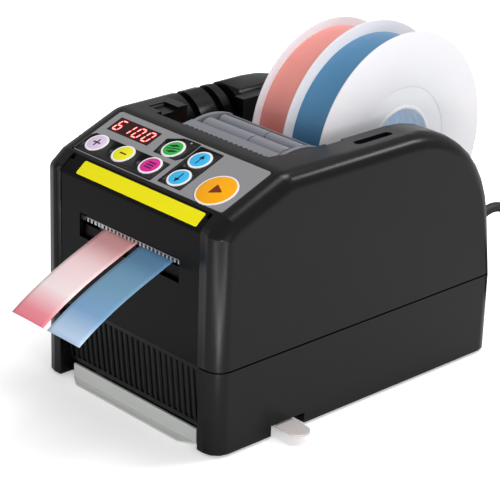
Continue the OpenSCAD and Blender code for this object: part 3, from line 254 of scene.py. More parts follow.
def across_at(y, z):
    """Place for a piece that turns on an axis across the machine."""
    return lambda along, a, b: (along, y + a, z + b)


def rounded(points, radius, steps=5):
    """The corners of a polygon rounded off."""
    out = []
    n = len(points)
    for i in range(n):
        before, here, after = (Vector(points[(i + k) % n]) for k in (-1, 0, 1))
        u = (before - here).normalized()
        v = (after - here).normalized()
        half = u.angle(v) / 2
        cut = min(radius / math.tan(half), (before - here).length * 0.49, (after - here).length * 0.49)
        r = cut * math.tan(half)
        centre = here + (u + v).normalized() * (r / math.sin(half))
        start = here + u * cut - centre
        end = here + v * cut - centre
        sweep = start.angle_signed(end)
        for k in range(steps + 1):
            spoke = start.copy()
            spoke.rotate(Matrix.Rotation(-sweep * k / steps, 2))
            out.append(tuple(centre + spoke))
    return out


# %% [markdown]
# ## The camera
# The photograph is taken from the right front and a little above, with a long lens.
# The camera's place was worked out from the corners of the housing.

# %% Camera
PHOTO_PX = 500
SENSOR_MM = 36
CAMERA = {
    "azimuth": 45.689, "elevation": 23.114, "roll": 2.16, "distance": 1.14943,
    "target": Vector((0.0, 0.0, 0.06109)), "focal_px": 2093.07, "offset_px": (24.37, 7.76),
}
az = math.radians(CAMERA["azimuth"])
el = math.radians(CAMERA["elevation"])
roll = math.radians(CAMERA["roll"])
back = Vector((math.sin(az) * math.cos(el), -math.cos(az) * math.cos(el), math.sin(el)))
right = Vector((math.cos(az), math.sin(az), 0))
up = back.cross(right)
right, up = (
    right * math.cos(roll) + up * math.sin(roll),
    up * math.cos(roll) - right * math.sin(roll),
)
lens = bpy.data.cameras.new("camera")
camera = bpy.data.objects.new("camera", lens)
bpy.context.scene.collection.objects.link(camera)
camera.matrix_world = Matrix.Translation(CAMERA["target"] + back * CAMERA["distance"]) @ Matrix(
    (right, up, back)
).transposed().to_4x4()
lens.sensor_width = SENSOR_MM
lens.lens = SENSOR_MM * CAMERA["focal_px"] / PHOTO_PX
lens.shift_x = -CAMERA["offset_px"][0] / PHOTO_PX
lens.shift_y = CAMERA["offset_px"][1] / PHOTO_PX
lens.clip_start = 0.01
bpy.context.scene.camera = camera
bpy.context.scene.view_settings.view_transform = "Standard"
print("lens", round(lens.lens, 1), "mm")

# %% [markdown]
# ## The mains lead
# Soft black PVC flex, 6 mm thick and about 1.4 m long with its plug, leaves the rear wall through a
# ribbed gland. It bends down to the table, and its spare length lies in two flat layers of a round coil
# behind the machine. One open curve with a round bevel makes it, so its length can be measured.

# %% Route of the lead
CORD_R = 3.0
GLAND = (27.0, 103.946, 55.5)
GLAND_END = 129.946
FREE_ROUTE = [
    (GLAND_END, 55.5), (133, 55.6), (138, 57.8), (144.5, 60.6), (151, 61.6), (158.5, 60), (166, 55.5),
    (173, 48.5), (178.5, 39.5), (182, 30), (185.5, 19.5), (190.5, 10.5), (198, 4.4), (208, 3),
]
COIL_CENTRE = (70.0, 214.0)
COIL_R = 43.0
COIL_PITCH = 6.5
COIL_TURNS = 3.25
COIL_STEPS = 300
COIL_END = 2 * COIL_TURNS - 0.25  # turns, so that the tail leaves to the right
CLIMB_TURNS = 0.5
CLIMB_BULGE = 0.6
TAIL_RUN = 42.0
TAIL_STEPS = 10
PLUG_LOW = 7.0


def coil_point(t):
    """The lead after t turns: inwards on the table, up one layer, and out again."""
    inner = COIL_R - COIL_PITCH * COIL_TURNS
    climb = min(max(t - COIL_TURNS, 0), CLIMB_TURNS) / CLIMB_TURNS
    if t < COIL_TURNS:
        r = COIL_R - COIL_PITCH * t
    elif t < COIL_TURNS + CLIMB_TURNS:
        r = inner - CLIMB_BULGE * math.sin(math.pi * climb)
    else:
        r = inner + COIL_PITCH * (t - COIL_TURNS - CLIMB_TURNS)
    a = math.pi - 2 * math.pi * t
    z = CORD_R + COIL_PITCH * (1 - math.cos(math.pi * climb)) / 2
    return Vector((COIL_CENTRE[0] + r * math.cos(a), COIL_CENTRE[1] + r * math.sin(a), z))


def smooth_line(points, steps):
    """A smooth curve through given points."""
    out = []
    for i in range(len(points) - 1):
        p0 = points[max(i - 1, 0)]
        p1, p2 = points[i], points[i + 1]
        p3 = points[min(i + 2, len(points) - 1)]
        for k in range(steps):
            t = k / steps
            out.append(
                0.5 * (2 * p1 + (p2 - p0) * t + (2 * p0 - 5 * p1 + 4 * p2 - p3) * t * t
                       + (3 * p1 - p0 - 3 * p2 + p3) * t ** 3)
            )
    return out + [points[-1]]


free = smooth_line([Vector((GLAND[0], y, z)) for y, z in FREE_ROUTE], 4)[:-1]
coil = [coil_point(COIL_END * k / COIL_STEPS) for k in range(COIL_STEPS + 1)]
end = coil[-1]
plug_x = end.x + 2 * CORD_R + TAIL_RUN
tail = [end + Vector((2 * CORD_R, 0, 0))]
for k in range(1, TAIL_STEPS + 1):
    drop = (end.z - PLUG_LOW) * (1 - math.cos(math.pi * k / TAIL_STEPS)) / 2
    tail.append(Vector((tail[0].x + TAIL_RUN * k / TAIL_STEPS, end.y, end.z - drop)))
lead_line = free + [Vector((GLAND[0], COIL_CENTRE[1] - 2 * CORD_R, CORD_R))] + coil + tail

# %% [markdown]
# Flexible PVC is matt with a faint drawn grain. It is a dark grey rather than a pure black.

# %% Finish of the lead and its gland
flex_pvc = grained("flex_pvc_black", "#1d1d1f", 0.48, 0.9, 0.03, Specular_IOR_Level=0.45)

# %% Lead and gland
line = bpy.data.curves.new("mains_lead", "CURVE")
line.dimensions = "3D"
spline = line.splines.new("POLY")
spline.points.add(len(lead_line) - 1)
for point, place in zip(spline.points, lead_line):
    point.co = (*(place * MM), 1)
line.bevel_depth = CORD_R * MM
line.bevel_resolution = 4
line.use_fill_caps = True
line.materials.append(flex_pvc)
lead = bpy.data.objects.new("mains_lead", line)
bpy.context.scene.collection.objects.link(lead)
give(lead, "machine", "cord_free", "cord_coil", "cord_tail", slot="cord_black")

GLAND_RIBS = 5
GLAND_RIB_STEP = 4
profile = [
    (-5.2, CORD_R), (-5.2, 5.4), (-5, 5.6), (-3.8, 5.6), (-3.6, 5.4), (-3.6, 4.1), (1.1, 4.1),
    (1.1, 5.5), (1.4, 5.8), (2.9, 5.8), (3.2, 5.5), (3.2, 4.8),
]
for k in range(GLAND_RIBS):
    for along, deep in ((6, 0), (6.25, 1.2), (7.15, 1.2), (7.4, 0)):
        y = along + GLAND_RIB_STEP * k
        profile.append((y, 4.8 - (y - 3) / 23 - deep * (1 - 0.12 * k)))
profile += [(25.6, 3.85), (26, 3.6), (26, CORD_R)]
gland = turned(
    "lead_gland", profile, lambda s, a, b: (GLAND[0] + a, GLAND[1] + s, GLAND[2] + b), 64, flex_pvc, 40
)
give(gland, "machine", "cord_gland", slot="cord_black")
print("gland", GLAND_RIBS, "ribs")

# %% [markdown]
# The moulded plug grows from the lead's round to a flat grip. A loft of rounded sections makes it.
# Its two round pins are nickel-plated brass with a dark sleeve.

# %% Plug
bright_nickel = grained("nickel_plated_brass", "#c9cacb", 0.22, 0.6, 0.004, Metallic=1.0)
PLUG_SIDES = 48
PIN_SIDES = 32
PIN_SPREAD = 9.5
GRIP_RIBS = 3
SECTIONS = [
    (0, 3.6, 3.6, 2), (5, 4.2, 4.2, 2), (10, 4.9, 4.9, 2), (14, 5.6, 5.2, 2.2), (18, 7.2, 5.5, 2.6),
    (23, 9.4, 6.0, 3), (28, 11.2, 6.4, 3.4), (32, 11.9, 6.7, 3.8), (36, 12.0, 6.7, 4),
    (36.8, 11.6, 6.3, 4), (37, 10.8, 5.7, 4),
]
bm = bmesh.new()
rings = []
for along, half_y, half_z, power in SECTIONS:
    ring = []
    for k in range(PLUG_SIDES):
        a = 2 * math.pi * k / PLUG_SIDES
        c, s = math.cos(a), math.sin(a)
        y = half_y * math.copysign(abs(c) ** (2 / power), c)
        z = half_z * math.copysign(abs(s) ** (2 / power), s)
        ring.append(bm.verts.new(Vector((plug_x + along, end.y + y, PLUG_LOW + z)) * MM))
    rings.append(ring)
for first, second in zip(rings, rings[1:]):
    for k in range(PLUG_SIDES):
        j = (k + 1) % PLUG_SIDES
        bm.faces.new((first[k], first[j], second[j], second[k]))
bm.faces.new(rings[0])
bm.faces.new(rings[-1])
for k in range(GRIP_RIBS):
    x = plug_x + 2 + 3.4 * k
    r = 4.4 + 0.45 * k
    rib = [(x, r - 1.2), (x, r), (x + 0.3, r + 0.3), (x + 0.9, r + 0.3), (x + 1.2, r), (x + 1.2, r - 1.2)]
    turn(bm, rib, across_at(end.y, PLUG_LOW), PLUG_SIDES, closed=True)
plug = new_object("mains_plug_body", bm, flex_pvc, 50)
give(plug, "machine", "mains_plug", slot="cord_black")
print("plug", len(SECTIONS), "sections")

# %% Pins
PIN = [(35, 0), (35, 2), (51.5, 2), (53.2, 1.7), (54.4, 1.1), (54.9, 0)]
PIN_SLEEVE = [(36.9, 1.9), (36.9, 2.05), (45, 2.05), (45.2, 1.9)]


def both_pins(name, profile, finish, closed):
    """Turns a profile round the axis of each pin."""
    bm = bmesh.new()
    profile = [(plug_x + s, r) for s, r in profile]
    for side in (-PIN_SPREAD, PIN_SPREAD):
        turn(bm, profile, across_at(end.y + side, PLUG_LOW), PIN_SIDES, closed)
    return new_object(name, bm, finish, 50)


pins = both_pins("mains_plug_pins", PIN, bright_nickel, False)
give(pins, "machine", slot="screw_zinc")
sleeves = both_pins("mains_plug_sleeves", PIN_SLEEVE, flex_pvc, True)
give(sleeves, "machine", slot="cord_black")

# %% [markdown]
# ## The two housings and the front cover
# They are injection-moulded ABS in black: semi-gloss, with a fine spark-eroded grain that spreads the
# highlights along the long rounded edges. A merged copy of each CAD shell keeps its exact form. Their
# edges are rounded in the CAD model, and weighted normals keep the flat faces flat.

# %% Black ABS
def mottle(tree, shader, where, scale, detail, first, second):
    """Lets the colour drift between two values, as moulded plastic and screen ink do."""
    drift = add(tree, "ShaderNodeTexNoise", {}, {"Vector": where, "Scale": scale, "Detail": detail})
    tone = add(tree, "ShaderNodeMix", {"data_type": "RGBA"}, {
        "Factor": drift.outputs["Fac"], "A": first, "B": second,
    })
    tree.links.new(tone.outputs["Result"], shader.inputs["Base Color"])


ABS_GRAIN_MM = 0.8  # the real grain is about 0.1 mm, too fine to show from here
abs_black, tree, shader, where = new_finish("moulded_abs_black", "#0b0b0c", 0.27, Specular_IOR_Level=0.23)
grain_bump(tree, shader, where, ABS_GRAIN_MM, 0.018)
mottle(tree, shader, where, 28.0, 2.0, linear("#09090a"), linear("#0e0e0f"))
cover_abs = grained("polished_abs_black", "#060607", 0.22, 3.0, 0.02, Specular_IOR_Level=0.12)

# %% Housings
upper_shell = dressed_copy("upper_shell", "upper_housing", abs_black, 0.0, "housing_black")
dressed_copy("lower_shell", "lower_housing", abs_black, 0.0, "housing_black")
dressed_copy("cover_shell", "front_cover", cover_abs, 0.0, "cover_black")
print("upper shell", len(upper_shell.data.polygons), "faces")

# %% [markdown]
# ## The ribbed grille
# A moulded panel under the outlet carries upright ribs at an even spacing. One rib is modelled, and a
# Geometry Nodes tree repeats it along a line, so that its number and spacing stay easy to change.

# %% The repeating tree
def repeat_tree(finish):
    """Repeats the object's own mesh along a line, and gives it a finish."""
    tree = bpy.data.node_groups.new("repeat_along_line", "GeometryNodeTree")
    tree.interface.new_socket("Geometry", in_out="INPUT", socket_type="NodeSocketGeometry")
    tree.interface.new_socket("Count", in_out="INPUT", socket_type="NodeSocketInt")
    tree.interface.new_socket("Step", in_out="INPUT", socket_type="NodeSocketVector")
    tree.interface.new_socket("Geometry", in_out="OUTPUT", socket_type="NodeSocketGeometry")
    given = tree.nodes.new("NodeGroupInput")
    row = add(tree, "GeometryNodeMeshLine", {"mode": "OFFSET"}, {
        "Count": given.outputs["Count"], "Offset": given.outputs["Step"],
    })
    many = add(tree, "GeometryNodeInstanceOnPoints", {}, {
        "Points": row.outputs["Mesh"], "Instance": given.outputs["Geometry"],
    })
    real = add(tree, "GeometryNodeRealizeInstances", {}, {"Geometry": many.outputs["Instances"]})
    painted = add(tree, "GeometryNodeSetMaterial", {}, {
        "Geometry": real.outputs["Geometry"], "Material": finish,
    })
    out = tree.nodes.new("NodeGroupOutput")
    tree.links.new(painted.outputs["Geometry"], out.inputs["Geometry"])
    return tree


def repeat(piece, count, step_mm, finish):
    """Runs the tree on a piece, and leaves a plain mesh."""
    changer = piece.modifiers.new("repeat", "NODES")
    changer.node_group = repeat_tree(finish)
    sockets = changer.node_group.interface.items_tree
    named = {item.name: item.identifier for item in sockets if item.in_out == "INPUT"}
    changer[named["Count"]] = count
    changer[named["Step"]] = tuple(s * MM for s in step_mm)
    return settle(piece)


# %% Grille
GRILLE_LEAN = math.radians(6.009)
GRILLE_FOOT = (-99.4, 10.5)
GRILLE_W = 111.4
GRILLE_H = 37.2
GRILLE_EDGE = 3.0
GRILLE_SIDE = 3.4
GRILLE_PLATE = (1.0, 2.4)
GRILLE_RIM = (0, 1.02)
RIBS = 24
RIB_PITCH = (GRILLE_W - 2 * GRILLE_EDGE) / RIBS


def on_slope(foot, tilt):
    """Place on a leaning face: x across, s up its slope, h out of it. Foot is its (y, z) at s = 0."""
    run, rise = math.cos(tilt), math.sin(tilt)
    return lambda x, s, h: (x, foot[0] + s * run - h * rise, foot[1] + s * rise + h * run)


in_grille = on_slope(GRILLE_FOOT, GRILLE_LEAN)


def on_grille(x, z, y):
    """A point of the grille: x across, z up its face, y into it."""
    return in_grille(x, y, z)


half = GRILLE_W / 2
inner = half - GRILLE_SIDE
head = GRILLE_H - GRILLE_EDGE
bm = bmesh.new()
prism(bm, [(-half, 0), (half, 0), (half, GRILLE_H), (-half, GRILLE_H)], *GRILLE_PLATE, on_grille)
for x0, x1, z0, z1 in (
    (-half, half, 0, GRILLE_EDGE), (-half, half, head, GRILLE_H),
    (-half, -inner, GRILLE_EDGE, head), (inner, half, GRILLE_EDGE, head),
):
    prism(bm, [(x0, z0), (x1, z0), (x1, z1), (x0, z1)], *GRILLE_RIM, on_grille)
grille_frame = soften(new_object("grille_frame", bm, abs_black), 0.25)
give(grille_frame, "machine", "front_grille", slot="housing_black")

# %% Ribs
RIB_HALF = RIB_PITCH * 0.22
RIB_OVERLAP = 0.1
bm = bmesh.new()
outline = [
    (-RIB_HALF, 1.05), (-RIB_HALF, 0.45), (-RIB_HALF * 0.6, 0.08), (0, 0), (RIB_HALF * 0.6, 0.08),
    (RIB_HALF, 0.45), (RIB_HALF, 1.05),
]
prism(
    bm, outline, GRILLE_EDGE - RIB_OVERLAP, head + RIB_OVERLAP,
    lambda u, v, z: on_grille(-half + GRILLE_EDGE + RIB_PITCH + u, z, v),
)
ribs = new_object("grille_ribs", bm, abs_black, 50)
repeat(ribs, RIBS - 1, (RIB_PITCH, 0, 0), abs_black)
give(ribs, "machine", slot="housing_black")
print("grille pitch", round(RIB_PITCH, 2), "mm")

# %% [markdown]
# ## The key panel
# A printed polycarbonate overlay lies in a shallow seat on the sloped panel. It is satin grey with black
# fields behind the keys. The fields are thin layers of ink, so they are modelled as very thin sheets.

# %% Place on the panel
PANEL_FOOT = (-95.5097, 129.303)
PANEL_TILT = math.radians(21.5)
on_panel = on_slope(PANEL_FOOT, PANEL_TILT)


def up_from_panel(x, s):
    """Place for a piece that is turned on an axis square to the panel."""
    return lambda along, a, b: on_panel(x + a, s + b, along)


# %% Overlay film and its ink
overlay_film = grained("printed_overlay_grey", "#8a8a8d", 0.34, 0.7, 0.01)
ink_black = grained("overlay_ink_black", "#0b090c", 0.3, 0.7, 0.01, Specular_IOR_Level=0.15)
overlay = dressed_copy("panel_film", "panel_overlay", overlay_film, 0.0, "overlay_grey")
print("overlay", len(overlay.data.polygons), "faces")

# %% [markdown]
# The keys are moulded caps with a white rim. A coloured disc with its symbol is printed on each.
# A cap is turned with its flange and the plunger that works the switch under it.

# %% Key finishes
key_white = grained("key_cap_white", "#f4f0f2", 0.3, 0.6, 0.006)


def key_ink(name, hex_code):
    """Printed key colour with a faint mottle, as screen ink has."""
    mat, tree, shader, where = new_finish(name, hex_code, 0.4, Specular_IOR_Level=0.15)
    ink = linear(hex_code)
    mottle(tree, shader, where, 900.0, 1.0, [0.9 * v for v in ink[:3]] + [1], ink)
    return mat


# %% Symbols
def stroke(points, width):
    """The outlines of a line drawn with a broad pen, one for each straight run."""
    out = []
    for a, b in zip(points, points[1:]):
        a, b = Vector(a), Vector(b)
        u = (b - a).normalized()
        n = Vector((-u.y, u.x)) * width / 2
        a, b = a - u * width * 0.3, b + u * width * 0.3
        out.append([tuple(a + n), tuple(a - n), tuple(b - n), tuple(b + n)])
    return out


ARROW = stroke([(0, -3.3), (0, 1.4)], 0.75) + [[(-1.7, 0.8), (1.7, 0.8), (0, 3.8)]]
SYMBOLS = {
    "plus": (
        stroke([(-2.4, 0), (2.4, 0)], 0.95) + stroke([(0, 0.8), (0, 2.4)], 0.95)
        + stroke([(0, -2.4), (0, -0.8)], 0.95)
    ),
    "minus": stroke([(-2.1, 0), (2.1, 0)], 1.0),
    "select": [bar for v in (1.9, 0, -1.9) for bar in stroke([(-2.5, v), (2.5, v)], 0.85)],
    "mode": [
        [(-4.4, 0.9), (-0.5, 3.3), (2.7, 3.0), (-1.2, 0.9)],
        [(-2.7, -3.0), (0.5, -3.3), (4.4, -0.9), (1.2, -0.9)],
        *stroke([(-3.8, -1.1), (3.8, 1.2)], 0.7),
    ],
    "up": ARROW,
    "down": [[(-u, -v) for u, v in shape] for shape in ARROW],
    "start": [rounded([(-2.8, -3.8), (4.2, 0), (-2.8, 3.8)], 0.5)],
}
KEY_ROW = 11.0
ARROW_ROW = 26.9
SMALL_R = 6.7
LARGE_R = 11.7
KEYS = [
    ("plus", "lilac", -49, KEY_ROW, SMALL_R, "#e0cbe8", "#2c1030"),
    ("minus", "yellow", -27.6, KEY_ROW, SMALL_R, "#f1ec22", "#5a2208"),
    ("select", "magenta", -6, KEY_ROW, SMALL_R, "#dd2c9b", "#4a0a34"),
    ("mode", "green", -5.2, ARROW_ROW, SMALL_R, "#38b350", "#0c3a18"),
    ("up", "blue", 15.6, ARROW_ROW, SMALL_R, "#3cbcf2", "#10202c"),
    ("down", "blue", 16.4, KEY_ROW, SMALL_R, "#3cbcf2", "#10202c"),
    ("start", "orange", 42.7, KEY_ROW + 2, LARGE_R, "#ffae00", "#7a2c10"),
]

# %% Ink with the key openings
INK_FIELDS = [
    [(-58.2, 1.9), (3.6, 1.9), (3.6, 17.0), (-56.0, 17.0), (-58.2, 14.8)],
    [(-15.4, 31.8), (-13.8, 20.0), (3.4, 20.3), (6.6, 24.0), (6.6, 36.6), (-2.4, 36.6), (-6.4, 36.2)],
    [(7.2, 3.6), (24.9, 3.6), (24.9, 35.7), (7.2, 35.7)],
]
INK_T = 0.05
KEY_PLAY = 0.3
bm = bmesh.new()
for field in INK_FIELDS:
    prism(bm, rounded(field, 0.8, 3), 0.0, INK_T, on_panel)
ink = new_object("panel_ink", bm, ink_black)
bm = bmesh.new()
for _, _, x, s, r, _, _ in KEYS:
    drill = [(-1, 0), (-1, r + KEY_PLAY), (1, r + KEY_PLAY), (1, 0)]
    turn(bm, drill, up_from_panel(x, s), 64)
drills = new_object("key_drills", bm, ink_black)
holes = ink.modifiers.new("holes", "BOOLEAN")
holes.object = drills
holes.solver = "EXACT"
settle(ink)
bpy.data.objects.remove(drills)
give(ink, "machine", slot="housing_black")
print("ink", len(ink.data.polygons), "faces")

# %% Keys
SYMBOL_H = (0.34, 0.39)
for name, slot, x, s, r, disc_hex, symbol_hex in KEYS:
    body = name + "_key"
    place = up_from_panel(x, s)
    cap = [
        (-8.5, 0), (-8.5, 1.6), (-3.9, 1.6), (-3.9, r + 1), (-2.7, r + 1), (-2.7, r), (0.05, r),
        (0.18, r - 0.05), (0.27, r - 0.16), (0.3, r - 0.35), (0.3, 0),
    ]
    piece = turned("key_" + name + "_cap", cap, place, 96, key_white, 30, closed=False)
    give(piece, body, "key_" + name, slot="key_" + slot)
    rim = 1.15 if r == SMALL_R else 0.95
    disc = [(0.29, 0), (0.29, r - rim), (0.33, r - rim), (0.35, r - rim - 0.05), (0.35, 0)]
    disc_ink = key_ink("key_ink_" + name, disc_hex)
    piece = turned("key_" + name + "_colour", disc, place, 96, disc_ink, 30, closed=False)
    give(piece, body)
    bm = bmesh.new()
    for shape in SYMBOLS[name]:
        prism(bm, shape, *SYMBOL_H, lambda u, v, h: on_panel(x + u, s + v, h))
    piece = new_object("key_" + name + "_symbol", bm, key_ink("symbol_ink_" + name, symbol_hex), 30)
    give(piece, body)
print("keys", len(KEYS))

# %% [markdown]
# The display is a dark red filter in front of four seven-segment digits. A lit segment is so bright
# that its middle looks nearly white with a red edge, so each is drawn twice: a wide red one and a
# narrow pale one.

# %% Display
red_filter = grained("red_filter", "#2a0306", 0.15, 5.0, 0.01, Specular_IOR_Level=0.2)
segment_red = grained(
    "lit_segment_red", "#ff3020", 0.4, 1.0, 0.002,
    Emission_Color=linear("#ff2018"), Emission_Strength=0.9,
)
segment_core = grained(
    "lit_segment_core", "#ffd8d4", 0.4, 1.0, 0.002,
    Emission_Color=linear("#ffd8d0"), Emission_Strength=0.8,
)
dressed_copy("display_filter", "display_window", red_filter, 0.1, "window_red")

DIGIT_W = 4.0
DIGIT_H = 7.6
DIGIT_STEP = 7.7
SLANT = 0.16
w, h = DIGIT_W / 2, DIGIT_H / 2
SEGMENTS = {
    "a": ((-w, h), (w, h)), "b": ((w, h), (w, 0)), "c": ((w, 0), (w, -h)), "d": ((-w, -h), (w, -h)),
    "e": ((-w, 0), (-w, -h)), "f": ((-w, h), (-w, 0)), "g": ((-w, 0), (w, 0)),
}
LIT = {"6": "acdefg", "1": "bc", "0": "abcdef"}
SHOWN = "6100"
DISPLAY = (-37.5, 27.8)


def segment(ends, width, cut):
    """A six-sided bar between two corners of a digit."""
    a, b = Vector(ends[0]), Vector(ends[1])
    u = (b - a).normalized()
    n = Vector((-u.y, u.x)) * width / 2
    a, b = a + u * cut, b - u * cut
    tip = width / 2
    return [tuple(p) for p in (a, a + u * tip + n, b - u * tip + n, b, b - u * tip - n, a + u * tip - n)]


for layer, width, cut, low, high, finish in (
    ("digits_glow", 1.3, 0.1, 0.0, 0.04, segment_red),
    ("digits_core", 0.5, 0.42, 0.03, 0.07, segment_core),
):
    bm = bmesh.new()
    for i, figure in enumerate(SHOWN):
        for name in LIT[figure]:
            x = DISPLAY[0] + DIGIT_STEP * (i - (len(SHOWN) - 1) / 2)
            shape = [(x + u + SLANT * v, DISPLAY[1] + v) for u, v in segment(SEGMENTS[name], width, cut)]
            prism(bm, shape, low, high, on_panel)
    piece = new_object(layer, bm, finish)
    give(piece, "machine")
print("digits", len(SHOWN))

# %% Lamp beside the green key
LED_PLACE = (0.4, 34.9)
LENS_R = 1.4
LENS_FOOT = -1.2
led_smoked = grained("led_lens_smoked", "#a8a2a2", 0.25, 2.0, 0.004)
dome = [(-12, 0), (-12, 1.9), (-5, 1.9), (-5, LENS_R), (LENS_FOOT, LENS_R)]
for a in (0.3, 0.6, 0.9, 1.2, 1.4):
    dome.append((LENS_FOOT + LENS_R * math.sin(a), LENS_R * math.cos(a)))
dome.append((0.2, 0))
led = turned("led_lens", dome, up_from_panel(*LED_PLACE), 32, led_smoked, 30, closed=False)
give(led, "machine", "status_led", slot="electronics_dark")

# %% [markdown]
# A bright yellow strip is glued to the band below the panel. Its vinyl is satin, 0.3 mm thick and rounded
# at the corners.

# %% Yellow strip
BAND_MID = (-100.255, 125.596)
BAND_TILT = math.radians(38)
STRIP_X = (-43.5, 50.5)
STRIP_S = (-4.9, 3.7)
STRIP_H = (-0.38, -0.08)
vinyl_yellow = grained("vinyl_yellow", "#f2e80c", 0.4, 1.2, 0.01, Specular_IOR_Level=0.15)
bm = bmesh.new()
(x0, x1), (s0, s1) = STRIP_X, STRIP_S
strip = [(x0, s0), (x1, s0), (x1, s1), (x0, s1)]
prism(bm, rounded(strip, 1.0), *STRIP_H, on_slope(BAND_MID, BAND_TILT))
label = soften(new_object("yellow_label", bm, vinyl_yellow), 0.08)
give(label, "machine", "yellow_strip", slot="strip_yellow")
print("strip", STRIP_X[1] - STRIP_X[0], "mm")

# %% [markdown]
# ## Metal finishes
# Sheet steel is brushed along its length, the shafts are ground, and the blades are polished. All are
# metals with typical colours. Their brush lines are noise drawn out about ten times along X. The bar under
# the front looks dull and pale, so it is only partly metallic.

# %% Metals
def metal(name, hex_code, roughness, size_mm, depth_mm, stretch=(1, 1, 1), metallic=1.0):
    """A metal with surface lines or grain of a real size."""
    mat, tree, shader, where = new_finish(name, hex_code, roughness, Metallic=metallic)
    noise = grain_bump(tree, shader, where, size_mm, depth_mm, stretch)
    spread = add(tree, "ShaderNodeMapRange", {}, {
        "Value": noise.outputs["Fac"], "To Min": roughness - 0.06, "To Max": roughness + 0.08,
    })
    tree.links.new(spread.outputs["Result"], shader.inputs["Roughness"])
    return mat


steel_brushed = metal("brushed_steel", "#e4e6e3", 0.5, 0.8, 0.012, (0.08, 1, 1), 0.55)
steel_ground = metal("ground_steel", "#c9cbcd", 0.22, 0.6, 0.004, (1, 0.15, 0.15))
blade_steel = metal("polished_tool_steel", "#dfe2e4", 0.18, 0.5, 0.004, (0.1, 1, 1))
plate_zinc = metal("zinc_plated_sheet", "#a9adb0", 0.38, 2.5, 0.008)
bronze = metal("sintered_bronze", "#b5863c", 0.45, 0.5, 0.02)
brass = metal("brass", "#cda65a", 0.3, 0.6, 0.005)
motor_can = metal("drawn_steel_can", "#b6b9bc", 0.33, 0.9, 0.006, (0.15, 1, 1))
screw_zinc = metal("zinc_screw", "#97989b", 0.35, 0.6, 0.01)
print("finishes", len(bpy.data.materials))

# %% [markdown]
# The comb in the outlet is blackened, and only its ground teeth are bright. They lie in a band of heights,
# so the colour follows the height. The same helper later paints highlight and shade along the ribbon's cut
# ends.

# %% Comb and lever finishes
def colour_along(tree, shader, where, axis, stops):
    """Colours that follow the place along an axis. Stops are pairs of millimetres and hex."""
    first, last = stops[0][0], stops[-1][0]
    apart = add(tree, "ShaderNodeSeparateXYZ", {}, {"Vector": where})
    along = add(tree, "ShaderNodeMapRange", {}, {
        "Value": apart.outputs[axis], "From Min": first * MM, "From Max": last * MM,
    })
    ramp = add(tree, "ShaderNodeValToRGB", {}, {"Fac": along.outputs["Result"]})
    bands = ramp.color_ramp.elements
    while len(bands) < len(stops):
        bands.new(0.5)
    for band, (at, code) in zip(bands, stops):
        band.position = (at - first) / (last - first)
        band.color = linear(code)
    tree.links.new(ramp.outputs["Color"], shader.inputs["Base Color"])


comb_steel, tree, shader, where = new_finish("blackened_comb_steel", "#1c1c20", 0.35, Metallic=1.0)
grain_bump(tree, shader, where, 0.8, 0.01)
colour_along(tree, shader, where, "Z", [
    (96.98, "#1c1c20"), (97.4, "#d8dadc"), (99.2, "#c6c8ca"), (99.68, "#1c1c20"),
])
tab_enamel = grained("pale_grey_enamel", "#d9d1d0", 0.3, 1.5, 0.008)

# %% Metal pieces
for row in (
    ("front_bar", "base_plate", steel_brushed, 0.2, "bare_steel"),
    ("latch_tab", "latch_lever", tab_enamel, 0.25, "bare_steel"),
    ("latch_pivot", "lever_pivot", screw_zinc, 0.15, "screw_zinc"),
    ("shell_screws", "housing_screws", screw_zinc, 0.0, "screw_zinc"),
    ("board_screws", "key_board_screws", screw_zinc, 0.0, "screw_zinc"),
    ("side_plate_left", "chassis_left", plate_zinc, 0.2, "plate_steel"),
    ("side_plate_right", "chassis_right", plate_zinc, 0.2, "plate_steel"),
    ("shaft_bushes", "feed_bushes", bronze, 0.15, "bronze"),
    ("drive_shaft", "feed_shaft", steel_ground, 0.3, "bare_steel"),
    ("pinion", "motor_pinion", brass, 0.0, "bronze"),
    ("feed_motor_can", "feed_motor", motor_can, 0.0, "motor_steel"),
    ("frame_pivots", "frame_pins", steel_ground, 0.2, "bare_steel"),
    ("roller_pins", "roller_axles", steel_ground, 0.2, "bare_steel"),
    ("chute_plates", "chute", plate_zinc, 0.0, "plate_steel"),
    ("blade_bracket", "cutter_bracket", plate_zinc, 0.0, "plate_steel"),
    ("lower_blade", "fixed_blade", blade_steel, 0.08, "blade_steel"),
    ("upper_blade", "moving_blade", blade_steel, 0.0, "blade_steel"),
    ("blade_rails", "blade_guides", plate_zinc, 0.1, "plate_steel"),
    ("crank", "cutter_crank", brass, 0.2, "bronze"),
    ("cutter_motor_can", "cutter_motor", motor_can, 0.5, "motor_steel"),
    ("outlet_comb", "comb_guard", comb_steel, 0.0, "blade_steel"),
    ("spindle", "reel_spindle", steel_ground, 0.4, "bare_steel"),
):
    dressed_copy(*row)

# %% [markdown]
# ## Rollers and gears
# The feed roller is black rubber with shallow grooves that grip the ribbon. The press and guide rollers
# are grey rubber on a sleeve, split in the middle. They are turned, so they are truly round.

# %% Plastics and rubber
roller_rubber = grained(
    "grey_roller_rubber", "#7f818b", 0.3, 1.0, 0.02, (0.3, 1, 1), Specular_IOR_Level=0.6
)
rubber_black = grained("rubber_black", "#1c1c1c", 0.6, 1.0, 0.04, Specular_IOR_Level=0.35)
frame_abs = grained("moulded_abs_grey", "#7d7e85", 0.4, 0.9, 0.012, Specular_IOR_Level=0.42)
nylon = grained(
    "nylon_natural", "#e6e2d6", 0.45, 1.2, 0.01,
    Specular_IOR_Level=0.4, Subsurface_Weight=0.1, Subsurface_Scale=0.002,
)

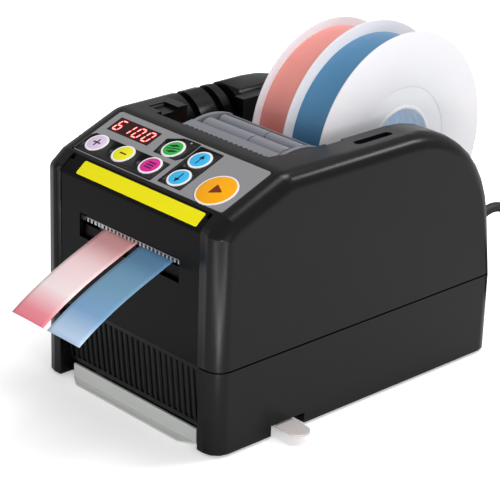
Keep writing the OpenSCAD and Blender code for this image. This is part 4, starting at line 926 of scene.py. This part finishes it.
# %% Feed roller
FEED = (-31.0, 119.314)
FEED_R = 10.0
PRESS_Z = 136.514
GUIDE = (-20.1, 138.414)
ROLLER_X = (-23.6, 38.6)
GROOVES = 9
GROOVE_STEP = 7
profile = [(ROLLER_X[0], 3), (ROLLER_X[0], FEED_R - 0.3), (ROLLER_X[0] + 0.3, FEED_R)]
for k in range(GROOVES):
    x = ROLLER_X[0] + 3 + GROOVE_STEP * k
    profile += [(x, FEED_R), (x + 0.1, 9.4), (x + 1.1, 9.4), (x + 1.2, FEED_R)]
profile += [(ROLLER_X[1] - 0.3, FEED_R), (ROLLER_X[1], FEED_R - 0.3), (ROLLER_X[1], 3)]
feed = turned("feed_roller_rubber", profile, across_at(*FEED), 96, rubber_black, 40)
give(feed, "feed", "feed_roller", slot="rubber_black")
print("feed roller", GROOVES, "grooves")

# %% Press and guide rollers
ROLLER_SPLIT = 13.0
for name, body, node, y, z, r in (
    ("press_roller_rubber", "press", "press_roller", FEED[0], PRESS_Z, 6.5),
    ("guide_roller_rubber", "guide", "guide_roller", GUIDE[0], GUIDE[1], 4.0),
):
    a, b = ROLLER_X
    mid = ROLLER_SPLIT
    profile = [
        (a + 0.4, 2.05), (a + 0.4, r - 0.8), (a + 1, r - 0.8), (a + 1, r - 0.3), (a + 1.3, r),
        (mid - 0.8, r), (mid - 0.5, r - 0.3), (mid - 0.5, r - 0.8),
        (mid + 0.5, r - 0.8), (mid + 0.5, r - 0.3), (mid + 0.8, r),
        (b - 1.3, r), (b - 1, r - 0.3), (b - 1, r - 0.8), (b - 0.4, r - 0.8), (b - 0.4, 2.05),
    ]
    piece = turned(name, profile, across_at(y, z), 72, roller_rubber, 40)
    give(piece, body, node, slot="roller_rubber")
dressed_copy("press_frame_arch", "roller_frame", frame_abs, 0.0, "frame_grey")
dressed_copy("feed_gear_teeth", "feed_gear", nylon, 0.0, "gear_white")

# %% [markdown]
# ## Satin ribbon
# Polyester satin has long floats of yarn on its face. They lie along the ribbon and give it a soft band of
# light across. The yarns are about 0.25 mm apart and are drawn at 0.5 mm, so that they show.
# Along the cut ends each colour is painted paler and deeper in bands: painted highlight and shade of the
# satin's sheen.

# %% Satin finishes
YARN_MM = 0.5
WAVE_LENGTH = 0.31416  # metres between the bands of a wave texture at scale 1


def satin(name, hex_code, stops=None):
    """Satin in one colour, or in colours that follow the Y place of the piece in millimetres, as painted
    highlight and shade.
    """
    mat, tree, shader, where = new_finish(
        name, hex_code, 0.42,
        Specular_IOR_Level=0.45, Sheen_Weight=0.12, Sheen_Roughness=0.35, Anisotropic=0.4,
    )
    yarns = add(tree, "ShaderNodeTexWave", {"bands_direction": "X"}, {
        "Vector": where, "Scale": WAVE_LENGTH / (YARN_MM * MM), "Distortion": 0.4, "Detail": 1.0,
    })
    bump = add(tree, "ShaderNodeBump", {}, {
        "Height": yarns.outputs["Fac"], "Distance": 0.012 * MM, "Strength": 1.0,
    })
    tree.links.new(bump.outputs["Normal"], shader.inputs["Normal"])
    if stops:
        colour_along(tree, shader, where, "Y", stops)
    return mat


# The stops along Y paint the satin's highlight and shade onto the cut ends.
pink_end_painted_sheen = satin("satin_ribbon_pink_end_painted_highlight", "#f3a5ac", [
    (-168, "#e25f76"), (-156, "#f08f9b"), (-143, "#fdeaec"), (-122, "#fdd9dc"), (-108, "#fbb4b6"),
    (-101, "#fbb4b6"),
])
blue_end_painted_sheen = satin("satin_ribbon_blue_end_painted_highlight", "#7fa4c8", [
    (-169, "#6f9fd0"), (-159, "#bdd3ec"), (-146, "#7ba5cd"), (-128, "#6f9cb8"), (-104, "#6a9dc8"),
])
satin_pink = satin("satin_ribbon_pink", "#ee968e")
satin_blue = satin("satin_ribbon_blue", "#4881aa")

# %% [markdown]
# The cut ends hang out of the outlet. Each is one strip of cloth, 25.4 mm wide and 0.3 mm thick, swept
# along the path that the chute gives it, with a slight hollow across, as a wound ribbon keeps.

# %% Ribbon paths
FRONT_Y = -105.0
RIBBON_Z = 95.2
RIBBON_W = 25.4
RIBBON_T = 0.3
RIBBON_GAP = 0.2
SPOOL_X = (4 - 14.4, 4 + 14.4)
CHUTE_TILT = math.radians(21)
CHUTE_TOP = math.radians(30)
TURN_R = FEED_R + RIBBON_GAP + RIBBON_T / 2
CHUTE_RUN = FEED[0] - TURN_R * math.sin(CHUTE_TOP) - FRONT_Y
CHUTE_IN = FRONT_Y + CHUTE_RUN
BEND = math.tan(CHUTE_TOP) - math.tan(CHUTE_TILT)
CUT_Y = FRONT_Y + 7.2
END_FROM_CUT = 1.6
WEB_FROM_CUT = 0.6
HUB = (61.0, 122.0)
STRIP_RUN = 69
STRIP_SAG = math.radians(5)
STRIP_STEPS = 40
RUN_STEPS = 12
TURN_STEPS = 16
CHUTE_STEPS = 18


def chute_point(y):
    """The ribbon's middle in the chute, at y."""
    d = y - FRONT_Y
    return (y, RIBBON_Z + d * math.tan(CHUTE_TILT) + BEND * max(d, 0) ** 2 / (2 * CHUTE_RUN))


def strip_path():
    """From the cutter out of the front, sagging a little."""
    y, z = chute_point(CUT_Y - END_FROM_CUT)
    out = []
    for k in range(STRIP_STEPS + 1):
        a = CHUTE_TILT + STRIP_SAG * (k / STRIP_STEPS) ** 2
        s = STRIP_RUN * k / STRIP_STEPS
        out.append((y - s * math.cos(a), z - s * math.sin(a)))
    return out


def web_path(wound_r):
    """From the wound roll over the feed roller and down to the cutter."""
    r = wound_r + RIBBON_GAP + RIBBON_T / 2
    to_hub = (HUB[0] - FEED[0], HUB[1] - FEED[1])
    tilt = math.asin((TURN_R + r) / math.hypot(*to_hub)) - math.atan2(to_hub[1], to_hub[0])
    y0, z0 = HUB[0] - r * math.sin(tilt), HUB[1] - r * math.cos(tilt)
    over = []
    for k in range(TURN_STEPS + 1):
        a = tilt + (-CHUTE_TOP - tilt) * k / TURN_STEPS
        over.append((FEED[0] + TURN_R * math.sin(a), FEED[1] + TURN_R * math.cos(a)))
    y1, z1 = over[0]
    straight = [(y0 + (y1 - y0) * k / RUN_STEPS, z0 + (z1 - z0) * k / RUN_STEPS) for k in range(RUN_STEPS)]
    cut_in = CUT_Y + WEB_FROM_CUT
    down = [
        chute_point(CHUTE_IN - (CHUTE_IN - cut_in) * k / CHUTE_STEPS) for k in range(1, CHUTE_STEPS + 1)
    ]
    return straight + over + down


# %% Ribbon mesh
ACROSS = 10


def ribbon(name, path, x, finish, hollow):
    """Sweeps a strip along a path of (y, z), and gives it its thickness."""
    bm = bmesh.new()
    rows = []
    n = len(path) - 1
    for i, (y, z) in enumerate(path):
        y0, z0 = path[max(i - 1, 0)]
        y1, z1 = path[min(i + 1, n)]
        ahead = Vector((y1 - y0, z1 - z0)).normalized()
        row = []
        for k in range(ACROSS + 1):
            u = 2 * k / ACROSS - 1
            lift = hollow * (u * u - 0.4) * min(1.0, 4 * i / n)
            row.append(bm.verts.new(Vector((
                x + u * RIBBON_W / 2, y + ahead.y * lift, z - ahead.x * lift,
            )) * MM))
        rows.append(row)
    for low, high in zip(rows, rows[1:]):
        for k in range(ACROSS):
            bm.faces.new((low[k], low[k + 1], high[k + 1], high[k]))
    piece = new_object(name, bm, finish, 60)
    solid = piece.modifiers.new("thickness", "SOLIDIFY")
    solid.thickness = RIBBON_T * MM
    solid.offset = 0
    settle(piece)
    length = sum(math.dist(a, b) for a, b in zip(path, path[1:]))
    return piece, length


# %% Ribbons
END_HOLLOW = -0.35
for colour, x, wound_r, end_satin_painted_sheen, web_satin in (
    ("pink", SPOOL_X[0], 53, pink_end_painted_sheen, satin_pink),
    ("blue", SPOOL_X[1], 56, blue_end_painted_sheen, satin_blue),
):
    piece, length = ribbon("ribbon_end_" + colour, strip_path(), x, end_satin_painted_sheen, END_HOLLOW)
    give(piece, "machine", "ribbon_strips", slot="ribbon_" + colour)
    piece, length = ribbon("ribbon_web_" + colour, web_path(wound_r), x, web_satin, 0)
    give(piece, "machine", "ribbon_webs", slot="ribbon_" + colour)
    print(colour, "web", round(length, 1), "mm")

# %% [markdown]
# ## Spools
# Each spool is two polystyrene discs on a hollow hub, with the ribbon wound between. The discs let a
# little light through; a faint painted glow on the discs and the hub lifts their shaded parts. A profile
# turned on the hub's axis gives the discs, the hub and the raised rings.

# %% Spool finish
# The discs' faint white glow is painted light that lifts their shaded parts.
polystyrene_painted_glow = grained(
    "white_polystyrene_painted_glow", "#dcdbe0", 0.3, 2.5, 0.01,
    Subsurface_Weight=0.25, Subsurface_Scale=0.003,
    Emission_Color=linear("#ffffff"), Emission_Strength=0.1,
)
# The grey-blue hub, core and sleeve carry a stronger painted glow: painted light inside the bore.
hub_tint_painted_glow = grained(
    "grey_blue_hub_painted_glow", "#b4cbdd", 0.3, 2.5, 0.01,
    Subsurface_Weight=0.3, Subsurface_Scale=0.003,
    Emission_Color=linear("#a9c2d6"), Emission_Strength=0.3,
)

# %% Spools and windings
HALF = 14.2
DISC_T = 1.2
CORE_L = 14
ARMS = (80, 200, 320)
RINGS_AT = (-9.5, -3.5, 2.5, 8.0)
WOUND_STEPS = 12
on_hub = across_at(*HUB)
for side, x, disc_r, wound_r, finish, slot in (
    ("left", SPOOL_X[0], 59.0, 54.5, satin_pink, "ribbon_pink"),
    ("right", SPOOL_X[1], 64.0, 57.6, satin_blue, "ribbon_blue"),
):
    body = side + "_reel"
    flat = HALF - DISC_T
    profile = [
        (-HALF, 21.3), (-HALF, disc_r - 0.5), (-HALF + 0.18, disc_r - 0.12), (-HALF + 0.6, disc_r),
        (-flat - 0.18, disc_r - 0.12), (-flat, disc_r - 0.5), (-flat, 23.9), (-flat + 0.5, 23.4),
        (flat - 0.5, 23.4), (flat, 23.9), (flat, disc_r - 0.5), (flat + 0.18, disc_r - 0.12),
        (HALF - 0.6, disc_r), (HALF - 0.18, disc_r - 0.12), (HALF, disc_r - 0.5), (HALF, 34.0),
        (HALF - 0.1, 33.6), (HALF - 0.35, 33.3), (HALF - 0.35, 23.0), (HALF - 0.1, 22.7), (HALF, 22.4),
        (HALF, 21.3), (HALF - 0.3, 21.0), (-HALF + 0.3, 21.0),
    ]
    profile = [(x + s, r) for s, r in profile]
    spool = turned("spool_" + side + "_discs", profile, on_hub, 160, polystyrene_painted_glow, 35)
    give(spool, body, "spool_" + side, slot="spool_white")

    a0, a1 = x - 12, x - 12 + CORE_L
    bm = bmesh.new()
    tube = [(a0, 4.05), (a0, 6.7), (a0 + 0.3, 7), (a1 - 0.3, 7), (a1, 6.7), (a1, 4.05)]
    turn(bm, tube, on_hub, 64, closed=True)
    for arm in ARMS:
        c, s = math.cos(math.radians(arm)), math.sin(math.radians(arm))
        prism(
            bm, [(5, -1.1), (21.1, -1.1), (21.1, 1.1), (5, 1.1)], a0 + 0.2, a1 - 0.2,
            lambda u, v, h: (h, HUB[0] + u * c - v * s, HUB[1] + u * s + v * c),
        )
    core = soften(new_object("spool_" + side + "_core", bm, hub_tint_painted_glow))
    give(core, body, slot="spool_white")

    lining = [(x - HALF + 1, 21.02), (x - HALF + 1, 20.85), (x + HALF - 1, 20.85), (x + HALF - 1, 21.02)]
    sleeve = turned("spool_" + side + "_sleeve", lining, on_hub, 96, hub_tint_painted_glow, 35)
    give(sleeve, body, slot="spool_white")
    bm = bmesh.new()
    for at in RINGS_AT:
        ring = [(x + at, 20.9), (x + at + 0.2, 20.3), (x + at + 0.8, 20.3), (x + at + 1, 20.9)]
        turn(bm, ring, on_hub, 96, closed=True)
    give(new_object("spool_" + side + "_hub_rings", bm, polystyrene_painted_glow), body, slot="spool_white")

    half = flat - 0.02
    profile = [(x - half, 23.45), (x - half, wound_r - 0.3)]
    for k in range(WOUND_STEPS + 1):
        u = k / WOUND_STEPS
        profile.append((x - half + 0.25 + (2 * half - 0.5) * u, wound_r - 0.25 * (2 * u - 1) ** 4))
    profile += [(x + half, wound_r - 0.3), (x + half, 23.45)]
    wound = turned("winding_" + side + "_ribbon", profile, on_hub, 128, finish, 40)
    give(wound, body, "winding_" + side, slot=slot)
    print(side, "spool", 2 * disc_r, "mm")

# %% [markdown]
# ## Under the housings
# The electronics are a green circuit board, a power supply in a folded steel case, and the key board.

# %% Electronics
circuit_green = grained("solder_mask_green", "#1f6a38", 0.35, 1.2, 0.02)
digit_black = grained("digit_block_black", "#1b0e10", 0.4, 1.0, 0.01, Specular_IOR_Level=0.4)
for row in (
    ("key_circuit", "key_board", circuit_green, 0.0, "circuit_green"),
    ("main_circuit", "control_board", circuit_green, 0.0, "circuit_green"),
    ("supply_case", "power_supply", plate_zinc, 0.4, "plate_steel"),
    ("digit_block", "digit_display", digit_black, 0.0, "electronics_dark"),
):
    dressed_copy(*row)

# %% [markdown]
# ## Rear switch and feet
# The power switch is a glossy red rocker in a black bezel. Four black rubber pads carry the machine. Each
# is turned, with a small hollow in the middle of its face.

# %% Switch
rocker_red = grained("rocker_red", "#b01c20", 0.28, 2.0, 0.01, Coat_Weight=0.2)
dressed_copy("switch_frame", "switch_bezel", abs_black, 0.0, "housing_black")
dressed_copy("switch_cap", "switch_rocker", rocker_red, 0.2, "switch_red")

# %% Feet
FEET_X = (-50, 50)
FEET_Y = (-79, 81)
FOOT = [(0.5, 0), (0.5, 1.9), (0, 2.2), (0, 5.6), (0.35, 6), (2.5, 6), (2.5, 0)]
bm = bmesh.new()
for x in FEET_X:
    for y in FEET_Y:
        turn(bm, FOOT, lambda along, a, b: (x + a, y + b, along), 48)
feet = new_object("rubber_pads", bm, rubber_black, 40)
give(feet, "machine", "rubber_feet", slot="rubber_black")

# %% [markdown]
# ## Stage and light
# A white floor and four soft lamps light the machine, as in a product studio: one overhead, one behind,
# one at the right and one low in front. Black plastic shows its form by what it reflects, so two thin
# lamps on the floor draw the bright lines along the rounded front corner.

# %% Floor
FLOOR_HALF = 6.0
bm = bmesh.new()
bmesh.ops.create_grid(bm, x_segments=1, y_segments=1, size=FLOOR_HALF)
studio_white, tree, shader, where = new_finish("studio_floor", "#f7f7f7", 0.9, Specular_IOR_Level=0.1)
seen = add(tree, "ShaderNodeLightPath")
away = add(tree, "ShaderNodeVectorMath", {"operation": "LENGTH"}, {0: where})
lift = add(tree, "ShaderNodeMapRange", {"interpolation_type": "SMOOTHSTEP"}, {
    "Value": away.outputs["Value"], "From Min": 0.1, "From Max": 0.3, "To Min": 0.36, "To Max": 0.9,
})
shown = add(tree, "ShaderNodeMath", {"operation": "MULTIPLY"}, {
    0: seen.outputs["Is Camera Ray"], 1: lift.outputs["Result"],
})
tree.links.new(shown.outputs["Value"], shader.inputs["Emission Strength"])
shader.inputs["Emission Color"].default_value = (1, 1, 1, 1)
floor = new_object("studio_floor", bm, studio_white)

# %% World
world = bpy.data.worlds.new("studio")
bpy.context.scene.world = world
world.use_nodes = True
tree = world.node_tree
sky = tree.nodes["Background"]
path = add(tree, "ShaderNodeLightPath")
shown = add(tree, "ShaderNodeMath", {"operation": "MAXIMUM"}, {
    0: path.outputs["Is Camera Ray"], 1: path.outputs["Is Transmission Ray"],
})
level = add(tree, "ShaderNodeMapRange", {}, {"Value": shown.outputs["Value"], "To Min": 0.5, "To Max": 1.0})
sky.inputs["Color"].default_value = (1, 1, 1, 1)
tree.links.new(level.outputs["Result"], sky.inputs["Strength"])

# %% Lamps
AIM = Vector((0, 0, 0.08))


def area_lamp(name, power, size, length=None):
    """A flat lamp, square or oblong, that still has to be placed."""
    data = bpy.data.lights.new(name, "AREA")
    data.shape = "RECTANGLE" if length else "SQUARE"
    data.size = size
    if length:
        data.size_y = length
    data.energy = power
    lamp = bpy.data.objects.new(name, data)
    bpy.context.scene.collection.objects.link(lamp)
    return lamp


for name, place, size, power in (
    ("overhead", (0.1, 0.3, 1.1), 0.4, 5.0),
    ("rear_right", (0.5, 0.8, 0.82), 0.2, 2.4),
    ("right", (1.05, -0.3, 0.34), 0.35, 2.6),
    ("low_front", (0.72, -0.85, 0.14), 0.22, 3.0),
):
    lamp = area_lamp(name, power, size)
    lamp.location = place
    lamp.rotation_euler = (AIM - Vector(place)).to_track_quat("-Z", "Y").to_euler()

# %% Strips on the floor
CORNER = Vector((0.066, -0.101, 0.004))
STRIP_AWAY = 0.2
for name, turn_deg in (("strip_front", 20), ("strip_right", 71)):
    lamp = area_lamp(name, 0.25, 0.03, 0.24)
    a = math.radians(turn_deg)
    lamp.location = CORNER + Vector((math.sin(a), -math.cos(a), 0)) * STRIP_AWAY
    lamp.rotation_euler = (math.pi, 0, -a)
    lamp.visible_camera = False
print("lamps", len(bpy.data.lights))
